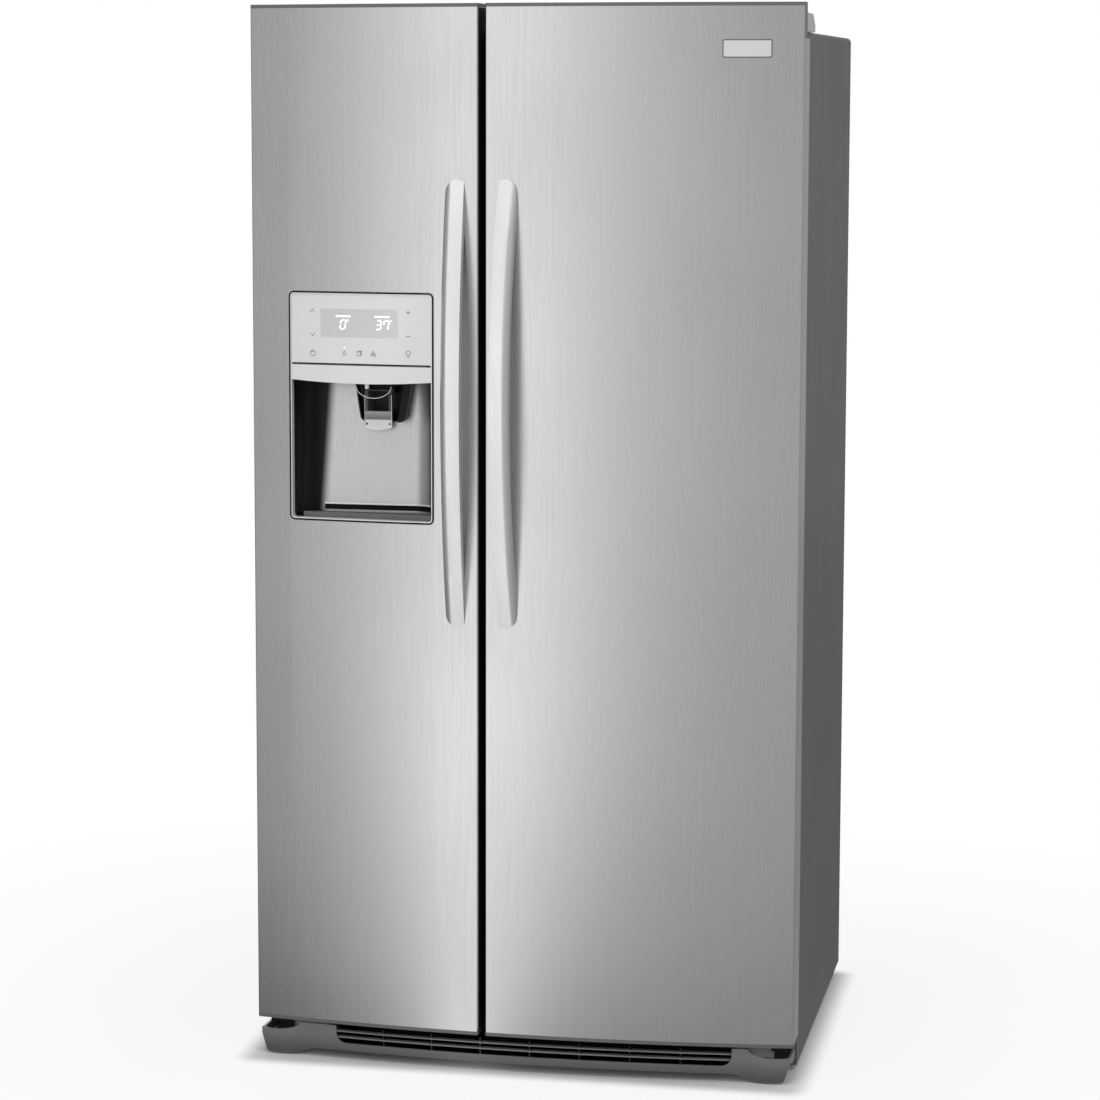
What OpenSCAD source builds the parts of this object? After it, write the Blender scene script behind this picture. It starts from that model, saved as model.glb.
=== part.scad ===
// Side-by-side refrigerator: freezer on the left with an ice and water
// dispenser, fresh food on the right. Millimetres, Z up, front faces -Y.
// The origin lies on the floor under the middle of the whole outline.

/* [Overall] */
// Width across both doors
overall_w = 918; // [860:2:960]
// Height from the floor to the top of the doors
overall_h = 1775; // [1700:5:1830]
// How far the middle of the bowed front stands ahead of its corners
front_bow = 35; // [15:1:50]

/* [Cabinet] */
// How far each cabinet side lies inside the door's outer edge
cab_inset = 4; // [2:0.5:8]
// Height of the door tops above the cabinet top
cab_drop = 46; // [40:1:56]
// Depth of the cabinet behind the door seals
cab_d = 682; // [620:2:760]
// Height of the lower edge of the side panels
side_z = 10; // [6:1:30]
// Thickness of the sheet steel
steel_t = 1; // [0.6:0.1:1.6]
// Radius of the folded top edges
cab_r = 8; // [4:1:14]
// Thickness of the insulated side walls
side_wall = 45; // [38:1:60]
// Thickness of the insulated top
top_wall = 50; // [40:1:70]
// Thickness of the insulated back
back_wall = 55; // [45:1:70]
// Thickness of the insulated floor
floor_wall = 45; // [36:1:60]
// Thickness of the plastic liners
liner_t = 3; // [2:0.5:4]
// Radius of the upright rear corners of the liners
liner_r = 18; // [8:1:24]
// Width of the insulated wall between the compartments
divider_w = 66; // [56:1:80]
// Width of the folded front flange of the steel cabinet
flange_w = 16; // [12:1:20]

/* [Doors] */
// Thickness of a door at its outer corner
door_t = 66; // [58:1:80]
// Width of the freezer door
freezer_door_w = 391.6; // [360:0.2:410]
// Gap between the two doors
door_gap = 12; // [8:0.5:16]
// Height of the lower edge of the doors
door_z = 62; // [58:1:90]
// Gap that the magnetic seals fill
seal_gap = 14; // [12:0.5:20]
// Thickness of the stainless steel door skins
skin_t = 1; // [0.6:0.1:1.6]
// Visible height of the end caps
cap_t = 6; // [4:0.5:10]
// Chamfer on the upright front corners
corner_c = 2.5; // [1:0.5:4]
// Width of the magnetic seals
seal_w = 16; // [12:1:20]
// How far the inner door panel stands into the compartment
dike_d = 34; // [24:1:40]
// Thickness of the walls of the inner door panel
panel_t = 3; // [2:0.5:4]

/* [Hinges] */
// Distance of the hinge pins from the outer door edge
pin_in = 14; // [12:0.5:15]
// Distance of the hinge pins ahead of the cabinet front
pin_ahead = 30; // [29:1:34]
// Diameter of the hinge pins
pin_d = 12; // [8:1:14]
// Depth of the hinge pocket in a door below the cabinet top
pocket_below = 9; // [7:1:20]
// Thickness of the hinge plates
hinge_t = 4; // [3:0.5:6]
// Height of the top hinge covers
cover_h = 30; // [22:1:36]

/* [Handles] */
// Length of each handle
handle_len = 741; // [600:5:900]
// Height of the lower end of the handles
handle_z = 752; // [600:5:850]
// How far the middle of a handle stands ahead of the door
handle_proud = 64; // [50:1:80]
// Width of a handle
handle_w = 32; // [26:1:40]
// Thickness of a handle bar
handle_bar = 24; // [16:1:28]
// Distance from the free door edge to the handle's middle line
handle_in = 39; // [34:1:60]
// Lean of the bow towards the gap, in degrees
handle_lean = 4; // [0:0.5:8]

/* [Dispenser] */
// Distance from the outer door edge to the dispenser
disp_in = 64.5; // [50:0.5:80]
// Width of the dispenser
disp_w = 253; // [220:1:260]
// Height of the dispenser
disp_h = 384; // [340:1:420]
// Distance from the door tops down to the dispenser
disp_down = 469; // [420:1:540]
// Width of the bezel around the dispenser
bezel_w = 5; // [3:0.5:8]
// Height of the control panel
panel_h = 117; // [100:1:130]
// Height of the visor under the control panel
visor_h = 30; // [20:1:40]
// Depth of the recess at its top
recess_d = 72; // [60:1:76]
// Backward lean of the recess wall, in degrees
recess_lean = 4; // [0:0.5:6]
// Radius of the upright corners of the recess
recess_r = 42; // [20:1:46]
// Distance of the outlets from the middle of the recess
outlet_off = 18; // [0:1:24]
// Radius of the ice outlet ring
ring_r = 29; // [24:1:32]
// Width of the paddle
paddle_w = 47; // [36:1:56]

/* [Toe grille] */
// Height of the upper edge of the toe grille
grille_z = 57; // [50:1:57]
// Clearance of its foot covers above the floor
cover_z = 3; // [3:1:8]
// Height of the strip below the grille opening
strip_z = 14; // [10:1:18]
// Distance of the grille behind the door fronts
grille_in = 8; // [4:1:14]
// Thickness of the grille moulding
grille_t = 4; // [3:0.5:6]
// Distance from the cabinet side to the left end of the opening
grille_left = 136; // [120:1:160]
// Distance from the cabinet side to the right end of the opening
grille_right = 98; // [90:1:140]
// Number of upright ribs in the opening
grille_ribs = 7; // [4:1:14]

/* [Machine compartment] */
// Depth of the machine compartment
mach_d = 220; // [200:1:240]
// Height of its ceiling
mach_z = 235; // [225:1:260]
// Height of the base pan
pan_z = 20; // [18:1:26]
// Radius of the compressor shell
comp_r = 68; // [60:1:74]
// Radius of the condenser fan
fan_r = 60; // [50:1:66]
// Radius of the rollers
roller_r = 18; // [15:1:19]
// Width of the rollers
roller_w = 18; // [14:1:24]

/* [Compartments] */
// Distance of the shelf fronts behind the cabinet front
shelf_in = 112; // [110:1:130]
// Depth of the shelves
shelf_d = 430; // [360:5:440]
// Thickness of the glass
glass_t = 4; // [3:0.5:6]
// Height of the shelf frames
frame_h = 16; // [12:1:22]
// Distance of the drawer fronts behind the cabinet front
drawer_in = 195; // [190:1:215]
// Height of the drawers
drawer_h = 165; // [120:1:170]
// Wall thickness of the drawers and bins
tub_t = 3; // [2:0.5:4]
// Height of a door bin
bin_h = 110; // [80:1:130]
// Depth of the fresh food door bins
bin_d = 92; // [70:1:94]
// Depth of the freezer door bins
freezer_bin_d = 74; // [60:1:76]

/* [Hidden] */

arc_fn = 1440;              // smoothness of the long bow
fit = 0.3;                  // running clearance between pieces
eps = 0.01;
half_w = overall_w / 2;
cab_w = overall_w - 2 * cab_inset;
cab_h = overall_h - cab_drop;
cab_half = cab_w / 2;
inner_half = cab_half - side_wall;
bow_r = (half_w * half_w + front_bow * front_bow) / (2 * front_bow);
function bow_at(x) = sqrt(bow_r * bow_r - x * x) - (bow_r - front_bow);

// doors across the front
gap_l = -half_w + freezer_door_w;
gap_r = gap_l + door_gap;
gap_x = (gap_l + gap_r) / 2;
handle_lx = gap_l - handle_in;
handle_rx = gap_r + handle_in;

// handle section: round on the outer side, crisp at the gap
round_r = handle_bar / 2;
round_u = round_r - handle_w / 2;
handle_reach = (handle_proud - round_r) * cos(handle_lean) + round_r
    - round_u * sin(handle_lean);

// planes from front to back
depth_all = cab_d + seal_gap + door_t + bow_at(handle_rx) + handle_reach;
y_back = depth_all / 2;
y_cab = y_back - cab_d;
y_door = y_cab - seal_gap;
y_corner = y_door - door_t;
bow_cy = y_corner - front_bow + bow_r;

// compartments
fr_x0 = -inner_half;
fr_x1 = gap_x - divider_w / 2;
ff_x0 = gap_x + divider_w / 2;
ff_x1 = inner_half;
floor_z = door_z + floor_wall;
ceil_z = cab_h - top_wall;
y_in = y_back - back_wall;
hump_y = y_back - mach_d - floor_wall;
hump_z = mach_z + floor_wall;
mach_y = y_back - mach_d;

// hinge pins
pin_x = half_w - pin_in;
pin_y = y_cab - pin_ahead;
pocket_z = cab_h - pocket_below;
pocket_in = 36;
pocket_ahead = 21;
pocket_wall = 3;
boss_r = pin_d / 2 + 4;
boss_h = 14;

// dispenser
disp_x0 = -half_w + disp_in;
disp_x1 = disp_x0 + disp_w;
disp_xc = (disp_x0 + disp_x1) / 2;
disp_top = overall_h - disp_down;
disp_z = disp_top - disp_h;
disp_r = 8;
panel_z = disp_top - bezel_w - panel_h;
visor_z = panel_z - 1 - visor_h;
visor_drop = 5;
y_disp = y_corner - bow_at(disp_xc);
outlet_x = disp_xc + outlet_off;
outlet_y = y_disp + 47.5;
tub_x0 = disp_x0 + bezel_w;
tub_x1 = disp_x1 - bezel_w;
tub_z = disp_z + bezel_w;
tub_wall = 3;
tray_h = 8;

module block(a, b) {
    translate(a) cube(b - a);
}

module round_rect(a, b, r) {
    translate([a[0] + r, a[1]]) square([b[0] - a[0] - 2 * r, b[1] - a[1]]);
    translate([a[0], a[1] + r]) square([b[0] - a[0], b[1] - a[1] - 2 * r]);
    for (x = [a[0] + r, b[0] - r], y = [a[1] + r, b[1] - r]) {
        translate([x, y]) circle(r = r, $fn = 48);
    }
}

// upright rounded plate, drawn in x and z and given its depth in y
module plate_xz(a, b, r, y0, y1) {
    translate([0, y1, 0]) rotate([90, 0, 0]) linear_extrude(y1 - y0) round_rect(a, b, r);
}

// side profile drawn in y and z and given its width in x
module along_x(x0, x1) {
    translate([x0, 0, 0]) rotate([90, 0, 90]) linear_extrude(x1 - x0) children();
}

// everything behind the bowed front, moved back by inset
module behind_bow(inset, z0, z1) {
    translate([0, bow_cy, z0]) cylinder(r = bow_r - inset, h = z1 - z0, $fn = arc_fn);
}

// solid door outline between two upright edges
module door_block(x0, x1, z0, z1, inset, y1) {
    cut = corner_c;
    y0 = y_corner - front_bow - 1;
    intersection() {
        behind_bow(inset, z0, z1);
        translate([0, 0, z0]) linear_extrude(z1 - z0) polygon([
            [x0, y1], [x0, y_corner - bow_at(x0) + inset + cut],
            [x0 + cut, y_corner - bow_at(x0) + inset - cut / 4], [x0 + cut, y0],
            [x1 - cut, y0], [x1 - cut, y_corner - bow_at(x1) + inset - cut / 4],
            [x1, y_corner - bow_at(x1) + inset + cut], [x1, y1]]);
    }
}

// ---- cabinet ----

seal_out = 4;               // seal edge inside the hinge pin
flange_in = steel_t + flange_w;
y_rear = y_back - steel_t;

module cabinet_outline(i, z0) {
    w = cab_half - i;
    top = cab_h - i;
    r = cab_r - i;
    translate([-w, z0]) square([2 * w, top - r - z0]);
    translate([r - w, z0]) square([2 * (w - r), top - z0]);
    for (x = [r - w, w - r]) {
        translate([x, top - r]) circle(r = r, $fn = 48);
    }
}

module cabinet_layer(i, z0, y0, y1) {
    translate([0, y1, 0]) rotate([90, 0, 0]) linear_extrude(y1 - y0) cabinet_outline(i, z0);
}

// the room inside one compartment, grown inwards by i
module compartment(x0, x1, i, y0) {
    intersection() {
        along_x(x0 + i, x1 - i) polygon([
            [y0, floor_z + i], [hump_y - i, floor_z + i], [hump_y - i, hump_z + i],
            [y_in - i, hump_z + i], [y_in - i, ceil_z - i], [y0, ceil_z - i]]);
        translate([0, 0, floor_z - 1]) linear_extrude(ceil_z - floor_z + 2)
            round_rect([x0 + i, y_cab - 50], [x1 - i, y_in - i], liner_r - i);
    }
}

module outer_cabinet() {
    color("#4d5054") {
        difference() {
            cabinet_layer(0, side_z, y_cab, y_rear);
            cabinet_layer(steel_t, side_z - 1, y_cab - 1, y_rear + 1);
        }
        // folded front and rear flanges
        for (y = [y_cab, y_rear - steel_t]) {
            difference() {
                cabinet_layer(steel_t - eps, side_z, y, y + steel_t);
                block([flange_in - cab_half, y - 1, side_z - 1],
                    [cab_half - flange_in, y + steel_t + 1, cab_h - flange_in]);
            }
        }
    }
}

bead_n = 4;                 // pressed beads in the back panel
bead_w = 40;

module rear_panel() {
    z0 = mach_z;
    z1 = cab_h - 2;
    pitch = (cab_w - 2 * flange_in) / bead_n;
    color("#9a9da0") difference() {
        block([2 - cab_half, y_rear, z0], [cab_half - 2, y_back, z1]);
        for (k = [0:bead_n - 1]) {
            x = flange_in - cab_half + pitch * (k + 0.5);
            block([x - bead_w / 2, y_back - steel_t / 2, z0 + 60],
                [x + bead_w / 2, y_back + 1, z1 - 60]);
        }
    }
}

module cabinet_foam() {
    yf = y_cab + liner_t;
    yb = y_rear - steel_t;
    color("#e8d9a0") difference() {
        intersection() {
            cabinet_layer(steel_t, door_z, yf, yb);
            along_x(-cab_half, cab_half) polygon([
                [yf, door_z], [mach_y, door_z], [mach_y, mach_z], [yb, mach_z],
                [yb, cab_h], [yf, cab_h]]);
        }
        compartment(fr_x0, fr_x1, 0, y_cab - 1);
        compartment(ff_x0, ff_x1, 0, y_cab - 1);
        block([fr_x1, y_cab, floor_z], [ff_x0, y_cab + mullion_d, ceil_z]);
        for (x = [fr_xc, ff_xc]) {
            switch_room(x, 1);
        }
    }
}

mullion_d = 14;

// steel-faced channel on the front of the wall between the compartments
module centre_mullion() {
    color("#c9ccd0") difference() {
        block([fr_x1, y_cab, floor_z], [ff_x0, y_cab + mullion_d, ceil_z]);
        block([fr_x1 + 2, y_cab + 2, floor_z - 1], [ff_x0 - 2, y_cab + mullion_d + 1, ceil_z + 1]);
    }
}

ledge_w = 9;
ledge_h = 6;

// moulded ledge pair for a drawer or rack whose rim lies at height z
module ledges(x0, x1, z, y0, y1) {
    block([x0 + liner_t - eps, y0, z - ledge_h], [x0 + liner_t + ledge_w, y1, z]);
    block([x1 - liner_t - ledge_w, y0, z - ledge_h], [x1 - liner_t + eps, y1, z]);
}

module liner(x0, x1, fx0, fx1) {
    difference() {
        compartment(x0, x1, 0, y_cab);
        compartment(x0, x1, liner_t, y_cab - 1);
    }
    difference() {
        block([fx0, y_cab, door_z], [fx1, y_cab + liner_t, cab_h - flange_in]);
        block([x0, y_cab - 1, floor_z], [x1, y_cab + liner_t + 1, ceil_z]);
        switch_room((x0 + x1) / 2, fit);
    }
}

// rim heights of the drawers, and their ends
low_rim = floor_z + liner_t + 14 + drawer_h;
high_rim = hump_z + liner_t + 18 + drawer_h;
drawer_y = y_cab + drawer_in;
low_end = hump_y - liner_t - 4;
cover_y = y_in - liner_t - 62;
rim_t = 3;

module freezer_liner() {
    color("#f1f2f3") {
        liner(fr_x0, fr_x1, flange_in - cab_half, fr_x1);
        for (z = [low_rim, high_rim]) {
            ledges(fr_x0, fr_x1, z - rim_t - fit, drawer_y - 40, low_end - 2);
        }
        for (z = rack_z) {
            ledges(fr_x0, fr_x1, z - fit, y_cab + shelf_in, cover_y - 8);
        }
        ledges(fr_x0, fr_x1, bucket_z - fit, y_cab + shelf_in, cover_y - 8);
    }
}

module fresh_food_liner() {
    color("#f1f2f3") {
        liner(ff_x0, ff_x1, ff_x0, cab_half - flange_in);
        for (z = [low_rim, high_rim]) {
            ledges(ff_x0, ff_x1, z - rim_t - fit, drawer_y - 40, low_end - 2);
        }
        ledges(ff_x0, ff_x1, shelf_z[0] - fit, y_cab + shelf_in, y_cab + shelf_in + shelf_d);
    }
}

// ---- base ----

rail_t = 2;
leg_y = y_cab + 32;
leg_x = cab_half - 100;
front_roller_y = y_cab + 82;
rear_roller_y = y_back - 62;
roller_x = cab_half - 62;
axle_r = 4;
slot_x = roller_w / 2 + 5;

module base_pan() {
    w = cab_half - steel_t;
    yb = y_rear - steel_t;
    color("#8d9094") difference() {
        union() {
            block([-w, mach_y, pan_z], [w, yb, pan_z + rail_t]);
            block([-w, mach_y, pan_z], [w, mach_y + rail_t, door_z]);
            block([-w, y_cab + liner_t, door_z - rail_t], [w, y_cab + 60, door_z]);
            block([-w, y_cab + liner_t, pan_z], [w, y_cab + liner_t + rail_t, door_z]);
            for (s = [-1, 1]) {
                block([s > 0 ? w - rail_t : -w, y_cab + liner_t, pan_z],
                    [s > 0 ? w : rail_t - w, yb, door_z]);
                block([s > 0 ? w - rail_t : -w, mach_y, pan_z],
                    [s > 0 ? w : rail_t - w, yb, mach_z]);
                block([s > 0 ? w - 90 : -w, y_cab + liner_t, door_z - rail_t],
                    [s > 0 ? w : 90 - w, mach_y + 1, door_z]);
            }
        }
        // openings for the rear rollers
        for (s = [-1, 1]) {
            translate([s * roller_x, rear_roller_y, pan_z])
                cube([2 * slot_x, 2 * roller_r + 8, 3 * rail_t], center = true);
        }
    }
}

module roller_bracket(y, z0, top) {
    for (s = [-1, 1]) {
        x = s * (roller_w / 2 + 3);
        translate([x - 1, y - 14, z0]) cube([2, 28, top - z0]);
    }
    translate([-roller_w / 2 - 4, y - 14, top - 2]) cube([roller_w + 8, 28, 2]);
    translate([-roller_w / 2 - 5, y, roller_r]) rotate([0, 90, 0])
        cylinder(r = axle_r, h = roller_w + 10, $fn = 32);
}

module roller_brackets() {
    color("#6f7276") for (s = [-1, 1]) {
        translate([s * roller_x, 0, 0]) {
            roller_bracket(front_roller_y, 10, door_z - rail_t);
            roller_bracket(rear_roller_y, pan_z + rail_t, 2 * roller_r + 10);
            for (e = [-1, 1]) {
                translate([e * (roller_w / 2 + 3) - 1, rear_roller_y - 14, 10])
                    cube([2, 28, pan_z + rail_t - 10 + eps]);
            }
        }
        // threaded plate that carries the levelling leg
        difference() {
            translate([s * leg_x - 16, y_cab + liner_t + rail_t, leg_plate_z])
                cube([32, 2 * (leg_y - y_cab) - 10, 4]);
            translate([s * leg_x, leg_y, leg_plate_z - 1])
                cylinder(r = leg_r + 0.2, h = 6, $fn = 32);
        }
        for (e = [-1, 1]) {
            translate([s * leg_x + e * 15 - 1, y_cab + liner_t + rail_t, leg_plate_z])
                cube([2, 2 * (leg_y - y_cab) - 10, door_z - rail_t - leg_plate_z]);
        }
    }
}

leg_r = 5;
leg_plate_z = 32;
leg_top = 46;

module levelling_legs() {
    color("#3a3c3f") for (s = [-1, 1]) {
        translate([s * leg_x, leg_y, 0]) {
            cylinder(r = 15, h = 4, $fn = 48);
            translate([0, 0, 4 - eps]) cylinder(r = 10, h = 8, $fn = 6);
            cylinder(r = leg_r, h = leg_top, $fn = 32);
        }
    }
}

module roller_pair(y) {
    for (s = [-1, 1]) {
        translate([s * roller_x, y, roller_r]) rotate([0, 90, 0]) difference() {
            union() {
                cylinder(r = roller_r, h = roller_w, center = true, $fn = 64);
                cylinder(r = axle_r + 4, h = roller_w + 3, center = true, $fn = 48);
            }
            cylinder(r = axle_r + 0.2, h = roller_w + 10, center = true, $fn = 32);
            for (e = [-1, 1]) {
                translate([0, 0, e * roller_w / 2]) difference() {
                    cylinder(r = roller_r - 3, h = 6, center = true, $fn = 48);
                    cylinder(r = axle_r + 4, h = 7, center = true, $fn = 48);
                }
            }
        }
    }
}

module front_rollers() { color("#2c2d2f") roller_pair(front_roller_y); }
module rear_rollers() { color("#2c2d2f") roller_pair(rear_roller_y); }

// ---- toe grille ----

grille_half = cab_half - 2;
open_x0 = grille_left - cab_half;
open_x1 = cab_half - grille_right;
open_z = strip_z + 13;
open_r = 18;
tab_t = 2.6;
tab_z = door_z + 38;
dip_w = 70;
dip_mid = 20;
dip_z = 43;
foot_w = 78;
foot_bulge = 8;
foot_taper = 9;
foot_run = 40;
foot_n = 12;
foot_x = grille_half - foot_w / 2;
foot_y = y_corner - bow_at(foot_x) + grille_in;
foot_r = (pow(foot_w / 2, 2) + pow(foot_bulge, 2)) / (2 * foot_bulge);

// lower edge of a foot cover and the dip that bares the hinge, from the outer end inwards
function ease(t) = (1 - cos(180 * t)) / 2;
foot_low = concat([[0, dip_z - 9], [foot_taper, cover_z + 3], [foot_taper + 3, cover_z]],
    [for (k = [0:foot_n]) [foot_w + foot_run * (k / foot_n - 0.5),
        cover_z + (strip_z - cover_z) * ease(k / foot_n)]]);
foot_top = [for (k = [0:foot_n]) let (u = dip_w * k / foot_n)
    [u, grille_z - (grille_z - dip_z) * sqrt(1 - pow((u - dip_mid) / (dip_w - dip_mid), 2))]];

module grille_outline() {
    n = len(foot_low) - 1;
    difference() {
        polygon(concat(
            [for (p = foot_low) [p[0] - grille_half, p[1]]],
            [for (k = [n:-1:0]) [grille_half - foot_low[k][0], foot_low[k][1]]],
            [for (p = foot_top) [grille_half - p[0], p[1]]],
            [for (k = [foot_n:-1:0]) [foot_top[k][0] - grille_half, foot_top[k][1]]]));
        // opening with rounded lower corners
        translate([open_x0, open_z + open_r]) square([open_x1 - open_x0, 60]);
        translate([open_x0 + open_r, open_z]) square([open_x1 - open_x0 - 2 * open_r, 60]);
        for (x = [open_x0 + open_r, open_x1 - open_r]) {
            translate([x, open_z + open_r]) circle(r = open_r, $fn = 48);
        }
    }
}

// upright drums that give the foot covers their bulge
module foot_drums(i) {
    for (s = [-1, 1]) {
        translate([s * foot_x, foot_y - foot_bulge + foot_r, -2])
            cylinder(r = foot_r - i, h = grille_z + 6, $fn = 360);
    }
}

module grille_shell(a, b) {
    difference() {
        behind_bow(a, 0, grille_z + 1);
        behind_bow(b, -1, grille_z + 2);
    }
}

module toe_grille() {
    span = open_x1 - open_x0;
    color("#77797c") {
        difference() {
            intersection() {
                union() {
                    behind_bow(grille_in, 0, grille_z + 1);
                    foot_drums(0);
                }
                translate([0, y_cab, 0]) rotate([90, 0, 0])
                    linear_extrude(y_cab - y_corner + front_bow) grille_outline();
            }
            behind_bow(grille_in + grille_t, -1, grille_z + 2);
            foot_drums(grille_t);
        }
        // bars and ribs across the opening
        intersection() {
            grille_shell(grille_in + 1, grille_in + 11);
            union() {
                for (z = [open_z + 10, open_z + 20]) {
                    block([open_x0 - 2, y_corner - front_bow, z - 1], [open_x1 + 2, y_cab, z + 1]);
                }
                for (k = [1:grille_ribs]) {
                    x = open_x0 + span * k / (grille_ribs + 1);
                    block([x - 1, y_corner - front_bow, open_z - 2], [x + 1, y_cab, grille_z - 2]);
                }
            }
        }
        // returns along the sides and legs that hold it to the base
        for (s = [-1, 1]) {
            x0 = s > 0 ? grille_half - grille_t : -grille_half;
            along_x(x0, x0 + grille_t) polygon([
                [foot_y + 2, dip_z - 9], [foot_y + 2, dip_z],
                [y_cab - 1 - tab_t, dip_z - 2], [y_cab - 1 - tab_t, tab_z - 8], [y_cab - 1, tab_z],
                [y_cab - 1, cover_z + 20], [y_corner + grille_in + 34, dip_z - 18]]);
            x1 = s > 0 ? open_x1 + 12 : open_x0 - 16;
            block([x1, y_corner - bow_at(x1) + grille_in + grille_t - 1, strip_z + 4],
                [x1 + 4, y_cab + liner_t, strip_z + 22]);
        }
    }
}

// ---- machine compartment ----

deck_z = pan_z + rail_t;
comp_in = 132;
comp_x = cab_half - comp_r - comp_in;
mach_yc = y_back - mach_d / 2;
comp_z = deck_z + 14;
comp_h = 92;

module compressor() {
    color("#202224") translate([comp_x, mach_yc, 0]) {
        translate([0, 0, comp_z + 22]) cylinder(r = comp_r, h = comp_h, $fn = 96);
        for (e = [0, 1]) {
            translate([0, 0, comp_z + 22 + e * comp_h]) intersection() {
                translate([0, 0, e > 0 ? -(dome_r - dome_h) : dome_r - dome_h])
                    sphere(r = dome_r, $fn = 96);
                translate([0, 0, e > 0 ? 0 : -dome_h]) cylinder(r = comp_r, h = dome_h, $fn = 96);
            }
        }
        translate([0, 0, comp_z + 20 + comp_h / 2]) cylinder(r = comp_r + 3, h = 4, $fn = 96);
        difference() {
            translate([-80, -60, comp_z - 4]) cube([160, 120, 4]);
            for (x = [-70, 70], y = [-50, 50]) {
                translate([x, y, comp_z - 5]) cylinder(r = 5, h = 6, $fn = 32);
            }
        }
        for (a = [0:90:270]) {
            rotate([0, 0, a + 45]) translate([comp_r - 26, -6, comp_z - eps]) cube([18, 12, 16]);
        }
        for (x = [-70, 70], y = [-50, 50]) {
            translate([x, y, deck_z]) cylinder(r = 11, h = comp_z - 4 - deck_z, $fn = 48);
        }
        translate([comp_r - 6, -24, comp_z + 40]) cube([28, 48, 56]);
        for (y = [-22, 0, 22]) {
            translate([-comp_r - 22, y, comp_z + 60]) rotate([0, 90, 0])
                cylinder(r = 4, h = 30, $fn = 32);
        }
    }
}

dome_h = 24;
dome_r = (comp_r * comp_r + dome_h * dome_h) / (2 * dome_h);

// one flat serpentine of tube: runs along x, stepping along z
module serpentine(n, pitch, run, r) {
    for (k = [0:n - 1]) {
        translate([-run / 2, 0, k * pitch]) rotate([0, 90, 0]) cylinder(r = r, h = run, $fn = 24);
    }
    for (k = [0:n - 2]) {
        s = k % 2 == 0 ? 1 : -1;
        translate([s * run / 2, 0, (k + 0.5) * pitch]) rotate([90, 0, 0])
            rotate([0, 0, s > 0 ? -90 : 90]) rotate_extrude(angle = 180, $fn = 48)
                translate([pitch / 2, 0]) circle(r = r, $fn = 24);
    }
}

coil_n = 6;
coil_pitch = 22;
coil_run = 210;
coil_in = 135;
coil_step = 36;
coil_lift = 42;
coil_x = coil_in + coil_run / 2 - cab_half;

module condenser_coil() {
    color("#2a2a2c") {
        for (k = [0:3]) {
            translate([coil_x, mach_yc + (k - 1.5) * coil_step, deck_z + coil_lift])
                serpentine(coil_n, coil_pitch, coil_run, 2.5);
        }
        for (x = [-80, 0, 80]) {
            translate([coil_x + x - 1, mach_yc - 62, deck_z + 2])
                cube([2, 124, coil_n * coil_pitch + 32]);
        }
    }
}

module drain_pan() {
    w = coil_run + 70;
    color("#303235") difference() {
        translate([coil_x - w / 2, mach_yc - 80, deck_z]) cube([w, 160, 30]);
        translate([coil_x - w / 2 + 2, mach_yc - 78, deck_z + 2]) cube([w - 4, 156, 30]);
    }
}

shroud_x = comp_x - 200;
fan_z = deck_z + 100;
motor_r = 20;
shaft_r = 3;

module fan_shroud() {
    h = mach_z - deck_z - 4;
    color("#d8d8d4") {
        difference() {
            translate([shroud_x, mach_y + 8, deck_z]) cube([4, mach_d - 16, h]);
            translate([shroud_x - 1, mach_yc, fan_z]) rotate([0, 90, 0])
                cylinder(r = fan_r + 4, h = 6, $fn = 96);
        }
        translate([shroud_x, mach_yc, fan_z]) rotate([0, 90, 0]) difference() {
            cylinder(r = fan_r + 8, h = 22, $fn = 96);
            translate([0, 0, -1]) cylinder(r = fan_r + 4, h = 24, $fn = 96);
        }
        // motor carried on three arms, with its shaft
        translate([shroud_x + 24, mach_yc, fan_z]) rotate([0, 90, 0]) {
            cylinder(r = motor_r, h = 34, $fn = 64);
            translate([0, 0, -17]) cylinder(r = shaft_r, h = 19, $fn = 32);
            for (a = [0:120:240]) {
                rotate([0, 0, a]) translate([motor_r - 4, -3, 2]) cube([fan_r + 12 - motor_r, 6, 4]);
                rotate([0, 0, a]) translate([fan_r + 5, -3, -3]) cube([3, 6, 9]);
            }
        }
    }
}

// axial fan on the z axis: hub with a blind bore and pitched blades
module fan(r, hub_r, h, blades) {
    difference() {
        union() {
            cylinder(r = hub_r, h = h, $fn = 64);
            intersection() {
                cylinder(r = r, h = h, $fn = 96);
                for (k = [0:blades - 1]) {
                    rotate([0, 0, k * 360 / blades]) translate([r / 2 + 2, 0, h / 2])
                        rotate([34, 0, 0]) cube([r, h * 1.9, 2], center = true);
                }
            }
        }
        translate([0, 0, h / 4]) cylinder(r = shaft_r + 0.2, h = h, $fn = 32);
    }
}

module condenser_fan() {
    color("#e4e4e0") translate([shroud_x + 2, mach_yc, fan_z]) rotate([0, 90, 0])
        fan(fan_r, 18, 18, 5);
}

module machine_cover() {
    x1 = cab_half - flange_in - 2;
    color("#35373a") difference() {
        block([-cab_half + 2, y_rear, pan_z + rail_t + 1], [cab_half - 2, y_back, mach_z - 1]);
        for (s = [-1, 1], k = [0:13]) {
            x = s * (x1 - 40) - s * k * 12;
            block([x - 2.5, y_rear - 1, deck_z + 60], [x + 2.5, y_back + 1, mach_z - 40]);
        }
        block([valve_x - 16, y_rear - 1, deck_z - 2], [valve_x + 16, y_back + 1, deck_z + 30]);
    }
}

valve_x = -20;
inlet_r = 5.5;

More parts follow.
